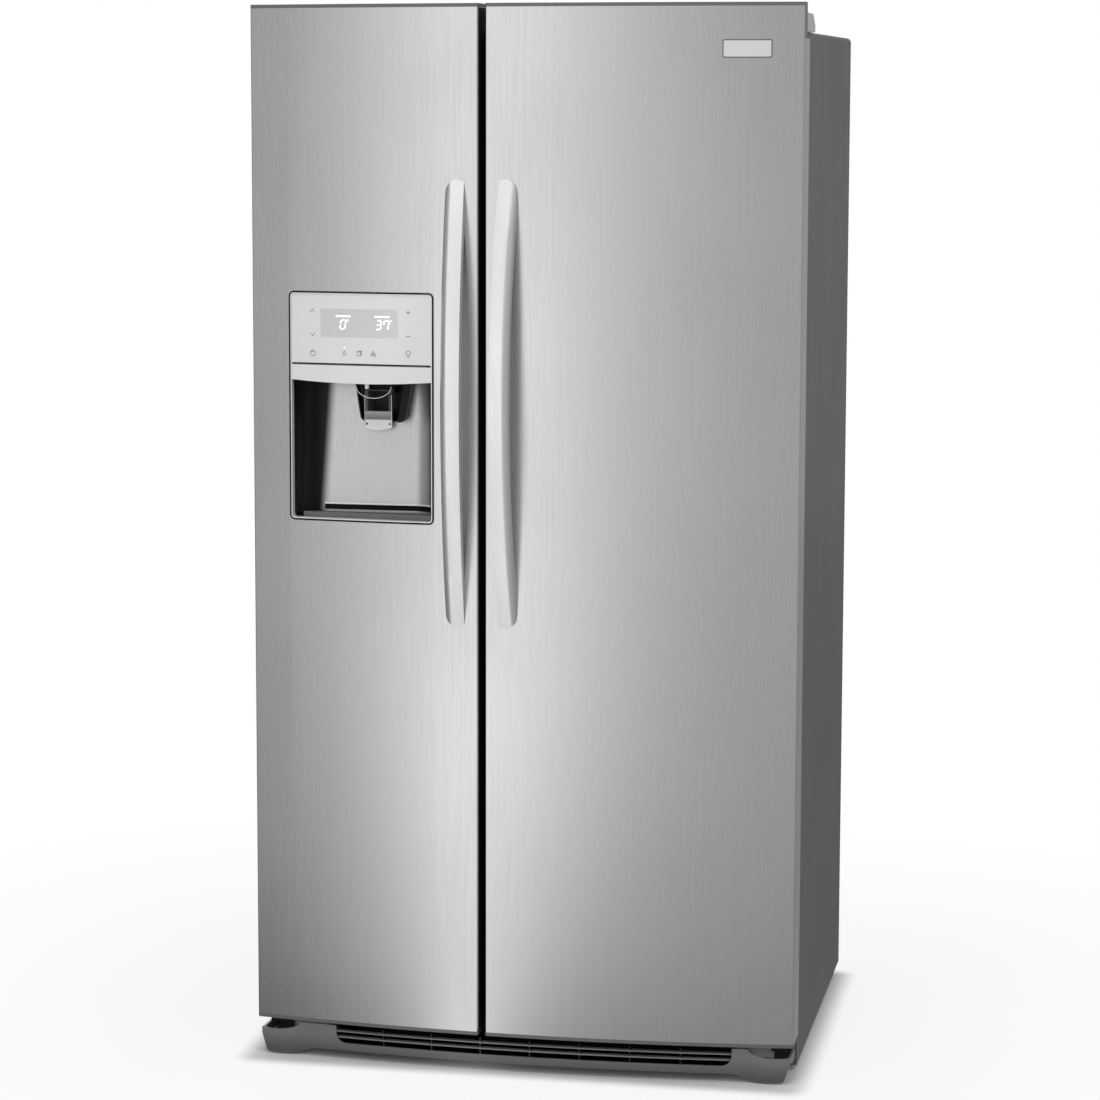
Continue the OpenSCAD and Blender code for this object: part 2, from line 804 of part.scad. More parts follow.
// solenoid valve with its threaded inlet towards the back
module water_valve() {
    color("#3b5f8a") translate([valve_x, 0, deck_z]) {
        translate([-24, y_back - 70, 0]) cube([48, 34, 24]);
        for (x = [-12, 12]) {
            translate([x, y_back - 53, 20]) cylinder(r = 11, h = 34, $fn = 48);
        }
        translate([0, y_back - 20, 14]) rotate([90, 0, 0]) cylinder(r = 9, h = 18, $fn = 6);
        translate([0, y_back - 3, 14]) rotate([90, 0, 0]) cylinder(r = inlet_r, h = 34, $fn = 48);
    }
}

// ---- hinges ----

plate_z = cab_h + hinge_t;
plate_len = 86;
plate_back = y_cab + plate_len;
plate_in = 27;

// mirror image for the left-hand side
module both_sides() {
    children();
    mirror([1, 0, 0]) children();
}

module top_hinges() {
    color("#3c3e41") both_sides() {
        block([pin_x - plate_in, y_cab + 2, cab_h], [cab_half - cab_r - 1, plate_back, plate_z]);
        block([pin_x - plate_in, pin_y, cab_h], [pin_x + 2.5, y_cab + 3, plate_z]);
        translate([pin_x, pin_y, cab_h]) cylinder(r = 10.7, h = hinge_t, $fn = 64);
        translate([pin_x, pin_y, pocket_z + fit]) cylinder(r = 10, h = cab_h - pocket_z, $fn = 64);
        translate([pin_x, pin_y, pocket_z - boss_h]) cylinder(d = pin_d, h = boss_h + 6, $fn = 64);
        for (y = [plate_back - 16, plate_back - 50], x = [pin_x - 22, pin_x - 4]) {
            translate([x, y, plate_z - eps]) cylinder(r = 6, h = 5, $fn = 6);
        }
    }
}

module hinge_cover_plan(i) {
    translate([pin_x, pin_y]) intersection() {
        circle(r = 19 - i, $fn = 64);
        translate([-30, -30]) square([43 - i, 60]);
    }
    translate([pin_x - plate_in - 3 + i, pin_y]) square([plate_in + 8 - 2 * i, y_cab - pin_y + 6]);
    translate([pin_x - plate_in - 3 + i, y_cab + 2 + i])
        square([plate_in + 3 + cab_half - pin_x - 2 * i, plate_back + 8 - y_cab - 2 * i]);
}

module hinge_covers() {
    color("#b9bbbe") both_sides() difference() {
        translate([0, 0, cab_h + fit]) linear_extrude(cover_h - fit) hinge_cover_plan(0);
        translate([0, 0, cab_h - 1]) linear_extrude(cover_h - 1) hinge_cover_plan(2);
        // sloped rear end
        along_x(pin_x - plate_in - 10, half_w + 10) polygon([
            [plate_back + 20, cab_h + 6], [plate_back + 20, cab_h + cover_h + 5],
            [plate_back - 30, cab_h + cover_h + 5]]);
    }
}

bottom_plate_z = door_z - 4;
hinge_out = cab_half - 8;
lip_out = 18;

module bottom_hinges() {
    color("#3c3e41") both_sides() {
        block([pin_x - plate_in, pin_y, bottom_plate_z - hinge_t],
            [hinge_out, y_cab - 2, bottom_plate_z]);
        translate([pin_x, pin_y, bottom_plate_z - hinge_t]) cylinder(r = 9.5, h = hinge_t, $fn = 64);
        block([pin_x - plate_in, y_cab - 3, pan_z], [hinge_out, y_cab, bottom_plate_z]);
        block([pin_x - plate_in, pin_y - lip_out, bottom_plate_z - hinge_t],
            [pin_x, pin_y + 1, bottom_plate_z]);
        block([pin_x - plate_in, pin_y - lip_out, bottom_plate_z - 12],
            [pin_x, pin_y - lip_out + 3, bottom_plate_z]);
        translate([pin_x, pin_y, bottom_plate_z - eps]) cylinder(r = 9, h = 4 - fit, $fn = 64);
        translate([pin_x, pin_y, bottom_plate_z - eps])
            cylinder(d = pin_d, h = boss_h + 4, $fn = 64);
    }
}

// ---- inside the cabinet ----

bucket_drop = 387;
bucket_z = ceil_z - bucket_drop;
bucket_h = 168;
maker_z = ceil_z - 179;
rack_step = 196;
rack_z = [for (k = [3:-1:1]) bucket_z - 4 - k * rack_step];
shelf_step = 250;
shelf_z = concat([high_rim + 26], [for (k = [3:-1:1]) ceil_z - 189 - k * shelf_step]);

cover_t = 3;
cover_z0 = hump_z + liner_t + 2;
cover_z1 = bucket_z - 30;
fr_xc = (fr_x0 + fr_x1) / 2;
ff_xc = (ff_x0 + ff_x1) / 2;
evap_fan_r = 50;
evap_fan_drop = 40;
evap_fan_z = cover_z1 - evap_fan_r - evap_fan_drop;
evap_back = y_in - liner_t - fit;

module evaporator_cover() {
    x0 = fr_x0 + liner_t + fit;
    x1 = fr_x1 - liner_t - fit;
    color("#eceded") {
        difference() {
            intersection() {
                block([x0, cover_y, cover_z0], [x1, evap_back, cover_z1]);
                compartment(fr_x0, fr_x1, liner_t + fit, y_cab);
            }
            block([x0 + cover_t, cover_y + cover_t, cover_z0 - 1],
                [x1 - cover_t, evap_back + 1, cover_z1 - cover_t]);
            // fan grille made of curved slots
            for (k = [-5:5]) {
                h = sqrt(pow(evap_fan_r, 2) - pow(k * 9, 2)) - 3;
                block([fr_xc + k * 9 - 2.5, cover_y - 1, evap_fan_z - h],
                    [fr_xc + k * 9 + 2.5, cover_y + cover_t + 1, evap_fan_z + h]);
            }
            // return air slots near the floor
            for (k = [0:7]) {
                block([x0 + 30, cover_y - 1, cover_z0 + 20 + k * 9],
                    [x1 - 30, cover_y + cover_t + 1, cover_z0 + 24 + k * 9]);
            }
            // stiffening grooves
            for (k = [0:4]) {
                z = cover_z0 + 150 + k * 110;
                block([x0 + 24, cover_y - 1, z], [x1 - 24, cover_y + 1, z + 14]);
            }
        }
        // motor on its bracket behind the grille
        translate([fr_xc, evap_back - 8, evap_fan_z]) rotate([90, 0, 0]) {
            cylinder(r = motor_r, h = 22, $fn = 64);
            cylinder(r = shaft_r, h = 41, $fn = 32);
        }
        block([x0 + cover_t - eps, evap_back - 24, evap_fan_z - 8],
            [x1 - cover_t + eps, evap_back - 20, evap_fan_z + 8]);
    }
}

module evaporator_fan() {
    color("#dcdcd8") translate([fr_xc, cover_y + cover_t + 4, evap_fan_z]) rotate([-90, 0, 0])
        fan(evap_fan_r - 3, 16, 22, 5);
}

evap_n = 9;
evap_pitch = 30;
evap_side = 35;
evap_lift = 130;
evap_run = fr_x1 - fr_x0 - 2 * (liner_t + evap_side);

module evaporator_coil() {
    z0 = cover_z0 + evap_lift;
    h = (evap_n - 1) * evap_pitch;
    color("#b9bdc0") {
        for (y = [18, 40]) {
            translate([fr_xc, cover_y + y, z0]) serpentine(evap_n, evap_pitch, evap_run, 4);
        }
        for (k = [0:8]) {
            x = fr_xc + (k - 4) * (evap_run - 10) / 8;
            block([x - 0.4, cover_y + 8, z0 - 12], [x + 0.4, evap_back, z0 + h + 12]);
        }
    }
}

// ---- shelves ----

rod = 2.5;
rack_bars = 13;

// wire rack for the freezer with its top at height z
module rack(x0, x1, y0, y1, z) {
    for (y = [y0, (y0 + y1) / 2 - rod, y1 - 2 * rod]) {
        block([x0, y, z - 3 * rod], [x1, y + 2 * rod, z - rod]);
    }
    for (k = [0:rack_bars]) {
        x = x0 + rod + (x1 - x0 - 2 * rod) * k / rack_bars;
        edge = k == 0 || k == rack_bars ? rod : rod / 2;
        block([x - edge, y0, z - rod - eps], [x + edge, y1, z]);
    }
}

frame_w = 14;
shelf_gap = 5;

// plastic frame of a glass shelf with its glass seat and side brackets
module shelf_frame(z) {
    x0 = ff_x0 + liner_t + shelf_gap;
    x1 = ff_x1 - liner_t - shelf_gap;
    y0 = y_cab + shelf_in;
    y1 = y0 + shelf_d;
    difference() {
        block([x0, y0, z - frame_h], [x1, y1, z]);
        block([x0 + frame_w, y0 + frame_w, z - frame_h - 1], [x1 - frame_w, y1 - frame_w, z + 1]);
        block([x0 + frame_w - 5, y0 + frame_w - 5, z - glass_t],
            [x1 - frame_w + 5, y1 - frame_w + 5, z + 1]);
    }
}

// arms that carry a shelf from the tracks on the back wall
module shelf_arms(z) {
    for (x = track_x) {
        along_x(x - 1, x + 1) polygon([
            [y_cab + shelf_in + 20, z - frame_h - 4], [y_cab + shelf_in + 20, z - frame_h],
            [track_y - fit, z - frame_h], [track_y - fit, z - 62], [track_y - 30, z - 62]]);
    }
}

track_x = [ff_x0 + liner_t + 60, ff_x1 - liner_t - 60];
track_y = y_in - liner_t - 9;
track_lift = 40;
track_drop = 110;
track_z0 = shelf_z[0] + track_lift;
track_z1 = ceil_z - track_drop;

module shelf_frames() {
    x0 = fr_x0 + liner_t + shelf_gap;
    x1 = fr_x1 - liner_t - shelf_gap;
    color("#e9eaeb") {
        for (z = [rack_z[0], rack_z[1], rack_z[2], bucket_z]) {
            rack(x0, x1, y_cab + shelf_in, cover_y - 10, z + 3 * rod);
        }
        for (z = shelf_z) {
            shelf_frame(z + frame_h);
        }
        for (k = [1:3]) {
            shelf_arms(shelf_z[k] + frame_h);
        }
    }
}

module shelf_glass() {
    color("#cfe3e0", 0.5) for (z = shelf_z) {
        block([ff_x0 + liner_t + shelf_gap + frame_w - 5 + fit,
            y_cab + shelf_in + frame_w - 5 + fit, z + frame_h - glass_t],
            [ff_x1 - liner_t - shelf_gap - frame_w + 5 - fit,
            y_cab + shelf_in + shelf_d - frame_w + 5 - fit, z + frame_h]);
    }
}

module shelf_tracks() {
    color("#d5d7d9") for (x = track_x) {
        difference() {
            block([x - 10, track_y, track_z0], [x + 10, y_in - liner_t, track_z1]);
            block([x - 8.5, track_y + 1.5, track_z0 - 1], [x + 8.5, y_in, track_z1 + 1]);
            for (z = [track_z0 + 14:50:track_z1 - 20]) {
                block([x - 2, track_y - 1, z], [x + 2, track_y + 3, z + 16]);
            }
        }
    }
}

control_h = 64;
control_in = 70;
control_d = 370;
control_slope = 40;
vent_n = 10;
vent_pitch = 16;
control_z = ceil_z - liner_t - control_h;

// housing at the roof of the fresh food side: lamp window, vents and a dial
module control_housing() {
    x0 = ff_x0 + liner_t + 30;
    x1 = ff_x1 - liner_t - 30;
    y0 = y_cab + control_in;
    y1 = y0 + control_d;
    color("#eff0f0") difference() {
        along_x(x0, x1) polygon([
            [y0, ceil_z - liner_t], [y0, control_z + control_h / 2], [y0 + 26, control_z],
            [y1 - control_slope, control_z], [y1, ceil_z - liner_t]]);
        block([x0 + 40, y0 + 60, control_z - 1], [x1 - 40, y1 - 120, control_z + 4]);
        for (k = [0:vent_n - 1]) {
            x = x0 + 30 + k * vent_pitch;
            block([x, y1 - 100, control_z - 1], [x + vent_pitch / 2, y1 - 54, control_z + 12]);
        }
    }
}

maker_in = 200;
maker_y0 = y_cab + maker_in;
maker_y1 = cover_y - 20;
cube_n = 7;

// ice maker: mould with crescent wells, drive housing and ejector shaft
module ice_maker() {
    xc = fr_xc;
    len = maker_y1 - maker_y0;
    r = 40;
    color("#c8cbce") {
        translate([xc, maker_y0, maker_z + 62]) rotate([-90, 0, 0]) difference() {
            intersection() {
                cylinder(r = r + 4, h = len, $fn = 96);
                translate([-60, 0, -1]) cube([120, 60, len + 2]);
            }
            for (k = [0:cube_n - 1]) {
                translate([0, 0, 6 + k * (len - 8) / cube_n])
                    cylinder(r = r, h = (len - 8) / cube_n - 4, $fn = 96);
            }
        }
        difference() {
            block([xc - 52, maker_y0 - 44, maker_z + 2], [xc + 52, maker_y0, maker_z + 100]);
            block([xc - 42, maker_y0 - 45, maker_z + 12], [xc + 42, maker_y0 - 42, maker_z + 90]);
        }
        // ejector shaft with its fingers, parked above the wells
        translate([xc, maker_y0 - 1, maker_z + 74]) rotate([-90, 0, 0]) {
            cylinder(r = 5, h = len + 1, $fn = 32);
            for (k = [0:cube_n - 1]) {
                translate([0, -4, 8 + (k + 0.3) * (len - 8) / cube_n]) cube([34, 8, 4]);
            }
        }
        // end plate and hangers fixed to the side wall
        block([xc - 48, maker_y1 - 4, maker_z + 30], [xc + 48, maker_y1, maker_z + 100]);
        block([fr_x0 + liner_t, maker_y0 + 10, maker_z + 84], [xc - 40, maker_y0 + 24, maker_z + 92]);
        block([fr_x0 + liner_t, maker_y1 - 30, maker_z + 84], [xc - 40, maker_y1 - 4, maker_z + 92]);
        block([xc - 46, maker_y0 - 1, maker_z + 62], [xc - 40, maker_y1, maker_z + 92]);
    }
}

// ---- drawers and the ice bucket ----

// open drawer with a moulded front, hand grip and side rims
module drawer(x0, x1, y0, y1, rim) {
    z0 = rim - drawer_h;
    difference() {
        union() {
            block([x0, y0 + 8, z0], [x1, y1, rim]);
            along_x(x0, x1) polygon([
                [y0 + 9, z0], [y0 + 3, z0 + 6], [y0, z0 + drawer_h * 0.55],
                [y0, rim], [y0 + 9, rim]]);
        }
        block([x0 + tub_t, y0 + 8 + tub_t, z0 + tub_t], [x1 - tub_t, y1 - tub_t, rim + 1]);
        // hand grip under the front edge
        block([x0 + 60, y0 - 1, rim - 42], [x1 - 60, y0 + 5, rim - 14]);
    }
    for (s = [0, 1]) {
        block([s == 0 ? x0 - ledge_w : x1 - eps, y0 + 30, rim - rim_t],
            [s == 0 ? x0 + eps : x1 + ledge_w, y1, rim]);
    }
}

side_run = liner_t + ledge_w + 2;

module crisper_upper() {
    color("#dfe9ec", 0.7) drawer(ff_x0 + side_run, ff_x1 - side_run, drawer_y, cover_y - 30, high_rim);
}

module crisper_lower() {
    color("#dfe9ec", 0.7) drawer(ff_x0 + side_run, ff_x1 - side_run, drawer_y, low_end, low_rim);
}

module basket(y1, rim) {
    x0 = fr_x0 + side_run;
    x1 = fr_x1 - side_run;
    z0 = rim - drawer_h;
    difference() {
        drawer(x0, x1, drawer_y, y1, rim);
        // slotted side walls
        for (k = [0:floor((y1 - drawer_y - 90) / 24)], z = [z0 + 20, z0 + 78]) {
            block([x0 - 1, drawer_y + 40 + k * 24, z], [x1 + 1, drawer_y + 52 + k * 24, z + 46]);
        }
    }
}

module freezer_basket_upper() { color("#f4f4f4") basket(cover_y - 14, high_rim); }
module freezer_basket_lower() { color("#f4f4f4") basket(low_end, low_rim); }

bucket_x0 = fr_x0 + liner_t + 16;
bucket_x1 = fr_x1 - liner_t - 16;
bucket_y0 = y_cab + 100;
bucket_y1 = cover_y - 16;
bucket_base = bucket_z + 3 * rod + fit;
auger_lift = 52;
auger_z = bucket_base + auger_lift;
auger_r = 40;

module ice_bucket() {
    color("#e6eef0", 0.8) difference() {
        union() {
            block([bucket_x0, bucket_y0 + 12, bucket_base], [bucket_x1, bucket_y1, bucket_base + bucket_h]);
            block([bucket_x0, bucket_y0, bucket_base], [bucket_x1, bucket_y0 + 13, bucket_base + bucket_h - 20]);
        }
        block([bucket_x0 + tub_t, bucket_y0 + 14, bucket_base + tub_t],
            [bucket_x1 - tub_t, bucket_y1 - tub_t, bucket_base + bucket_h + 1]);
        // ice mouth in the front and the drive hole in the back
        translate([outlet_x, bucket_y0 - 1, auger_z]) rotate([-90, 0, 0])
            cylinder(r = auger_r + 2, h = 20, $fn = 96);
        translate([outlet_x, bucket_y1 - 10, auger_z]) rotate([-90, 0, 0])
            cylinder(r = 6.3, h = 20, $fn = 48);
    }
}

auger_turns = 3;

// shaft with a helical flight that pushes ice to the mouth
module ice_auger() {
    len = bucket_y1 - bucket_y0 - 70;
    color("#aeb3b6") translate([outlet_x, bucket_y0 + 40, auger_z]) rotate([-90, 0, 0]) {
        translate([0, 0, -34]) cylinder(r = 6, h = len + 64, $fn = 32);
        linear_extrude(len, twist = -360 * auger_turns, slices = 12 * auger_turns)
            translate([4, -2]) square([auger_r - 10, 4]);
    }
}

// ---- door switches ----

switch_z = ceil_z + 3;
switch_h = 8;
switch_w = 12;
switch_in = 16;

// room for a switch plunger behind the liner flange
module switch_room(x, grow) {
    block([x - switch_w / 2 - grow, y_cab - 1, switch_z - grow],
        [x + switch_w / 2 + grow, y_cab + liner_t + switch_in + 6, switch_z + switch_h + grow]);
}

module door_switches() {
    color("#f4f4f4") for (x = [fr_xc, ff_xc]) {
        block([x - switch_w / 2, y_door + strike_h + fit, switch_z],
            [x + switch_w / 2, y_cab + liner_t + switch_in, switch_z + switch_h]);
    }
}

strike_h = 3.7;

// pad on a door liner that presses the switch
module strike_pad(x) {
    block([x - switch_w / 2 - 2, y_door - eps, switch_z - 2],
        [x + switch_w / 2 + 2, y_door + strike_h, switch_z + switch_h + 2]);
}

// ---- doors ----

hang_z0 = floor_z - 30;
hang_z1 = ceil_z + 30;
skin_z0 = door_z + cap_t;
skin_z1 = overall_h - cap_t;
panel_y = y_door - panel_t;
dike_w = 26;
dike_gap = 15;
dike_z0 = floor_z + liner_t + dike_gap;
dike_z1 = ceil_z - liner_t - dike_gap;
hook_fit = 0.3;

// hinge pocket in the upper rear corner; side is -1 or 1
module pocket(side, grow) {
    x0 = side > 0 ? pin_x - pocket_in - grow : -half_w - 1;
    x1 = side > 0 ? half_w + 1 : pocket_in + grow - pin_x;
    block([x0, pin_y - pocket_ahead - grow, pocket_z - grow], [x1, y_door + 1, overall_h + 1]);
}

module pin_boss(side, z0, h, r) {
    translate([side * pin_x, pin_y, z0]) cylinder(r = r, h = h, $fn = 64);
}

module door_skin(x0, x1, side) {
    difference() {
        door_block(x0, x1, skin_z0, skin_z1, 0, y_door);
        door_block(x0 + skin_t, x1 - skin_t, skin_z0 - 1, skin_z1 + 1, skin_t, y_door + 1);
        pocket(side, 0);
    }
}

module door_caps(x0, x1, side) {
    bore_r = pin_d / 2 + 0.2;
    difference() {
        union() {
            door_block(x0, x1, skin_z1, overall_h, 0, y_door);
            intersection() {
                door_block(x0 + skin_t, x1 - skin_t, pocket_z - pocket_wall, skin_z1 + eps,
                    skin_t, panel_y);
                pocket(side, pocket_wall);
            }
            pin_boss(side, pocket_z - pocket_wall - boss_h, boss_h + eps, boss_r);
        }
        pocket(side, 0);
        pin_boss(side, pocket_z - 60, 60 + cap_t, bore_r);
    }
    difference() {
        union() {
            door_block(x0, x1, door_z, skin_z0, 0, y_door);
            pin_boss(side, skin_z0 - eps, boss_h, boss_r);
        }
        pin_boss(side, door_z - 1, boss_h + cap_t + 2, bore_r);
    }
}

module door_dike(x0, x1, i, y0) {
    difference() {
        block([x0 + i, y0, dike_z0 + i], [x1 - i, y_door + dike_d - i, dike_z1 - i]);
        block([x0 + dike_w - i, y0 - 1, dike_z0 + dike_w - i],
            [x1 - dike_w + i, y_door + dike_d + 1, dike_z1 - dike_w + i]);
    }
}

module door_foam(x0, x1, side, d0, d1) {
    difference() {
        door_block(x0 + skin_t, x1 - skin_t, skin_z0, skin_z1, skin_t, panel_y);
        pocket(side, pocket_wall);
        pin_boss(side, pocket_z - pocket_wall - boss_h - 3, boss_h + 10, boss_r + fit);
        pin_boss(side, skin_z0 - 1, boss_h + 5, boss_r + fit);
    }
    door_dike(d0, d1, panel_t, panel_y - eps);
}

module door_liner(x0, x1, side, d0, d1, bins) {
    difference() {
        union() {
            difference() {
                block([x0 + skin_t, panel_y, skin_z0], [x1 - skin_t, y_door, skin_z1]);
                pocket(side, pocket_wall);
            }
            door_dike(d0, d1, 0, panel_y);
        }
        door_dike(d0, d1, panel_t, panel_y - 1);
    }
    strike_pad(side > 0 ? ff_xc : fr_xc);
    // lugs that the bins hook onto
    for (z = bins, s = [0, 1]) {
        x = s == 0 ? d0 + dike_w : d1 - dike_w;
        block([s == 0 ? x - eps : x - 6, y_door - eps, z + bin_h - 34],
            [s == 0 ? x + 6 : x + eps, y_door + 24, z + bin_h - 12]);
    }
}

module door_seal(a, b) {
    difference() {
        block([a, y_door, hang_z0], [b, y_cab - fit, hang_z1]);
        block([a + seal_w, y_door - 1, hang_z0 + seal_w], [b - seal_w, y_cab + 1, hang_z1 - seal_w]);
    }
}

// moulded door bin, notched at both ends for the lugs
module door_bin(d0, d1, z, depth) {
    x0 = d0 + dike_w + hook_fit;
    x1 = d1 - dike_w - hook_fit;
    y0 = y_door + hook_fit;
    difference() {
        translate([0, 0, z]) linear_extrude(bin_h) intersection() {
            round_rect([x0, y0 - 40], [x1, y0 + depth], 16);
            translate([x0, y0]) square([x1 - x0, depth]);
        }
        translate([0, 0, z + tub_t]) linear_extrude(bin_h) intersection() {
            round_rect([x0 + tub_t, y0 - 40], [x1 - tub_t, y0 + depth - tub_t], 16 - tub_t);
            translate([x0 + tub_t, y0 + tub_t]) square([x1 - x0 - 2 * tub_t, depth]);
        }
        bin_notches(d0, d1, z);
    }
}

module bin_notches(d0, d1, z) {
    for (x = [d0 + dike_w + hook_fit, d1 - dike_w - hook_fit]) {
        block([x - 6.5, y_door - 1, z - 1], [x + 6.5, y_door + 24.5, z + bin_h - 11.5]);
    }
}

tip_r = 26;                 // rounding of the handle ends, outer side
tip_s = 8;                  // and at the gap

// front outline of a handle, its outer side towards +x
module handle_outline() {
    x = handle_w / 2 - tip_r;
    z1 = handle_z + handle_len;
    for (z = [handle_z + tip_r, z1 - tip_r]) intersection() {
        translate([x, z]) circle(r = tip_r, $fn = 96);
        translate([x, z - tip_r]) square([tip_r, 2 * tip_r]);
    }
    for (z = [handle_z + tip_s, z1 - tip_s]) {
        translate([x, z]) circle(r = tip_s, $fn = 48);
    }
    translate([x - tip_s, handle_z + tip_s]) square([tip_s, handle_len - 2 * tip_s]);
    translate([-handle_w, handle_z + tip_r]) square([2 * handle_w, handle_len - 2 * tip_r]);
}

// bar bent to an arc that runs out into the door at both ends
module handle(x) {
    arc_r = (pow(handle_len / 2, 2) + pow(handle_proud, 2)) / (2 * handle_proud);
    half = asin(handle_len / 2 / arc_r) + 2;
    y0 = y_corner - bow_at(x);
    difference() {
        intersection() {
            translate([x, y0, handle_z + handle_len / 2]) rotate([0, 0, -handle_lean])
                translate([0, arc_r - handle_proud, 0]) rotate([0, 90, 0])
                    rotate([0, 0, 270 - half])
                        rotate_extrude(angle = 2 * half, $fn = 720) handle_section(arc_r);
            translate([x, y0 + handle_bar, 0]) rotate([90, 0, 0])
                linear_extrude(handle_proud + 2 * handle_bar) handle_outline();
        }
        // seat on the door, flat along the bow's tangent
        translate([x, y0 - fit, handle_z - 60]) rotate([0, 0, asin(x / bow_r)])
            translate([-2 * handle_w, 0, 0]) cube([4 * handle_w, 4 * handle_w, handle_len + 120]);
    }
}

module handle_section(arc_r) {
    in_r = arc_r - handle_bar;
    w = handle_w / 2;
    translate([arc_r - round_r, w - round_r]) circle(r = round_r, $fn = 96);
    translate([in_r, -w]) square([handle_bar, handle_w - round_r]);
}

// ---- fresh food door ----

ff_d0 = ff_x0 + liner_t + dike_gap;
ff_d1 = ff_x1 - liner_t - dike_gap;
dairy_z = ceil_z - 199;
bin_z0 = dike_z0 + dike_w + 3;
ff_bin_n = 6;
ff_bins = [for (k = [0:ff_bin_n - 1]) bin_z0 + k * (dairy_z - bin_z0) / ff_bin_n];

module fresh_door_skin() { color("#b4b7ba") door_skin(gap_r, half_w, 1); }
module fresh_door_foam() { color("#e8d9a0") door_foam(gap_r, half_w, 1, ff_d0, ff_d1); }
module fresh_door_liner() {
    color("#f1f2f3") door_liner(gap_r, half_w, 1, ff_d0, ff_d1, concat(ff_bins, [dairy_z]));
}
module fresh_door_caps() { color("#9a9da1") door_caps(gap_r, half_w, 1); }
module fresh_door_seal() { color("#3a3b3d") door_seal(gap_r + 6, pin_x - seal_out); }
module fresh_door_bins() {
    color("#dfe9ec", 0.7) {
        for (z = ff_bins) {
            door_bin(ff_d0, ff_d1, z, bin_d);
        }
        door_bin(ff_d0, ff_d1, dairy_z, dairy_d);
        dairy_cheeks();
    }
}
module fresh_handle() { color("#c4c7ca") handle(handle_rx); }

dairy_d = bin_d - 14;
dairy_top = dairy_z + bin_h + 26;
dairy_y = y_door + bin_d - 8;
dairy_pin = 3;
cheek_x0 = ff_d0 + dike_w + hook_fit;
cheek_x1 = ff_d1 - dike_w - hook_fit;

// cheeks of the dairy bin with bores for the lid's pins
module dairy_cheeks() {
    y0 = y_door + hook_fit;
    y1 = dairy_y + dairy_pin + 4;
    difference() {
        for (x = [cheek_x0, cheek_x1 - tub_t]) {
            along_x(x, x + tub_t) polygon([
                [y0, dairy_z], [y0 + dairy_d, dairy_z], [y1, dairy_top - 16],
                [y1, dairy_top + dairy_pin + 4], [y0, dairy_top + dairy_pin + 4]]);
        }
        bin_notches(ff_d0, ff_d1, dairy_z);
        translate([cheek_x0 - 1, dairy_y, dairy_top]) rotate([0, 90, 0])
            cylinder(r = dairy_pin + 0.15, h = cheek_x1 - cheek_x0 + 2, $fn = 32);
    }
}

// clear lid of the dairy bin, hinged along its top edge
module dairy_cover() {
    x0 = cheek_x0 + tub_t + 0.5;
    x1 = cheek_x1 - tub_t - 0.5;
    color("#dfe9ec", 0.7) {
        translate([cheek_x0 + fit, dairy_y, dairy_top]) rotate([0, 90, 0])
            cylinder(r = dairy_pin, h = cheek_x1 - cheek_x0 - 2 * fit, $fn = 32);
        block([x0, dairy_y - 1.5, dairy_z + 30], [x1, dairy_y + 1.5, dairy_top]);
        block([(x0 + x1) / 2 - 40, dairy_y + 1, dairy_z + 30], [(x0 + x1) / 2 + 40, dairy_y + 7, dairy_z + 34]);
    }
}

// ---- freezer door ----

fr_d0 = fr_x0 + liner_t + dike_gap;
fr_d1 = fr_x1 - liner_t - dike_gap;
fr_bin_step = 178;
fr_bins = concat([for (k = [0:3]) bin_z0 + k * fr_bin_step], [dairy_z + 20]);
tub_top = visor_z + 12;
duct_half = ring_r + 2;
duct_top = bucket_z + 60;
duct_t = 2.5;
shell_in = 14;
hood_z = disp_z + 163;
hood_top_w = 96;
hood_low_w = 72;
hood_r = 10;
hood_back = y_door - panel_t - 3;

module dispenser_outline(i, y0, y1) {
    plate_xz([disp_x0 + i, disp_z + i], [disp_x1 - i, disp_top - i], disp_r - i / 2, y0, y1);
}

// form of the dispenser recess, shrunk by i
module recess(i) {
    intersection() {
        translate([0, y_disp, tub_top]) rotate([-recess_lean, 0, 0]) translate([0, 0, -disp_h])
            linear_extrude(disp_h + 60)
                round_rect([tub_x0 + i, -160], [tub_x1 - i, recess_d - i], recess_r - i);
        block([tub_x0 + i, y_disp - 90, tub_z + i], [tub_x1 - i, y_door, tub_top - i]);
    }
}

module hood_form(i, y0, y1) {
    w = hood_top_w / 2 - i;
    v = hood_low_w / 2 - i;
    r = hood_r - i;
    z = hood_z + i + r;
    translate([outlet_x, y1, 0]) rotate([90, 0, 0]) linear_extrude(y1 - y0) polygon(concat(
        [[-w, tub_top]], [for (a = [180:15:270]) [r - v + r * cos(a), z + r * sin(a)]],
        [for (a = [270:15:360]) [v - r + r * cos(a), z + r * sin(a)]], [[w, tub_top]]));
}

module duct(i, z0) {
    h = duct_half - i;
    block([outlet_x - h, outlet_y - h, z0], [outlet_x + h, outlet_y + h, duct_top - i]);
    block([outlet_x - h, outlet_y, duct_top - 52 + i], [outlet_x + h, y_door + 40, duct_top - i]);
}

module freezer_door_skin() {
    color("#b4b7ba") difference() {
        door_skin(-half_w, gap_l, -1);
        dispenser_outline(0, y_corner - front_bow - 5, panel_y);
    }
}

module freezer_door_foam() {
    color("#e8d9a0") difference() {
        door_foam(-half_w, gap_l, -1, fr_d0, fr_d1);
        difference() {
            dispenser_outline(0, y_corner - front_bow - 5, y_door);
            behind_bow(shell_in, disp_z - 5, disp_top + 5);
        }
        recess(-tub_wall);
        hood_form(-fit, y_disp + 30, hood_back + fit);
        duct(-fit, tub_top);
    }
}

module freezer_door_liner() {
    color("#f1f2f3") difference() {
        door_liner(-half_w, gap_l, -1, fr_d0, fr_d1, fr_bins);
        duct(-fit, tub_top);
    }
}

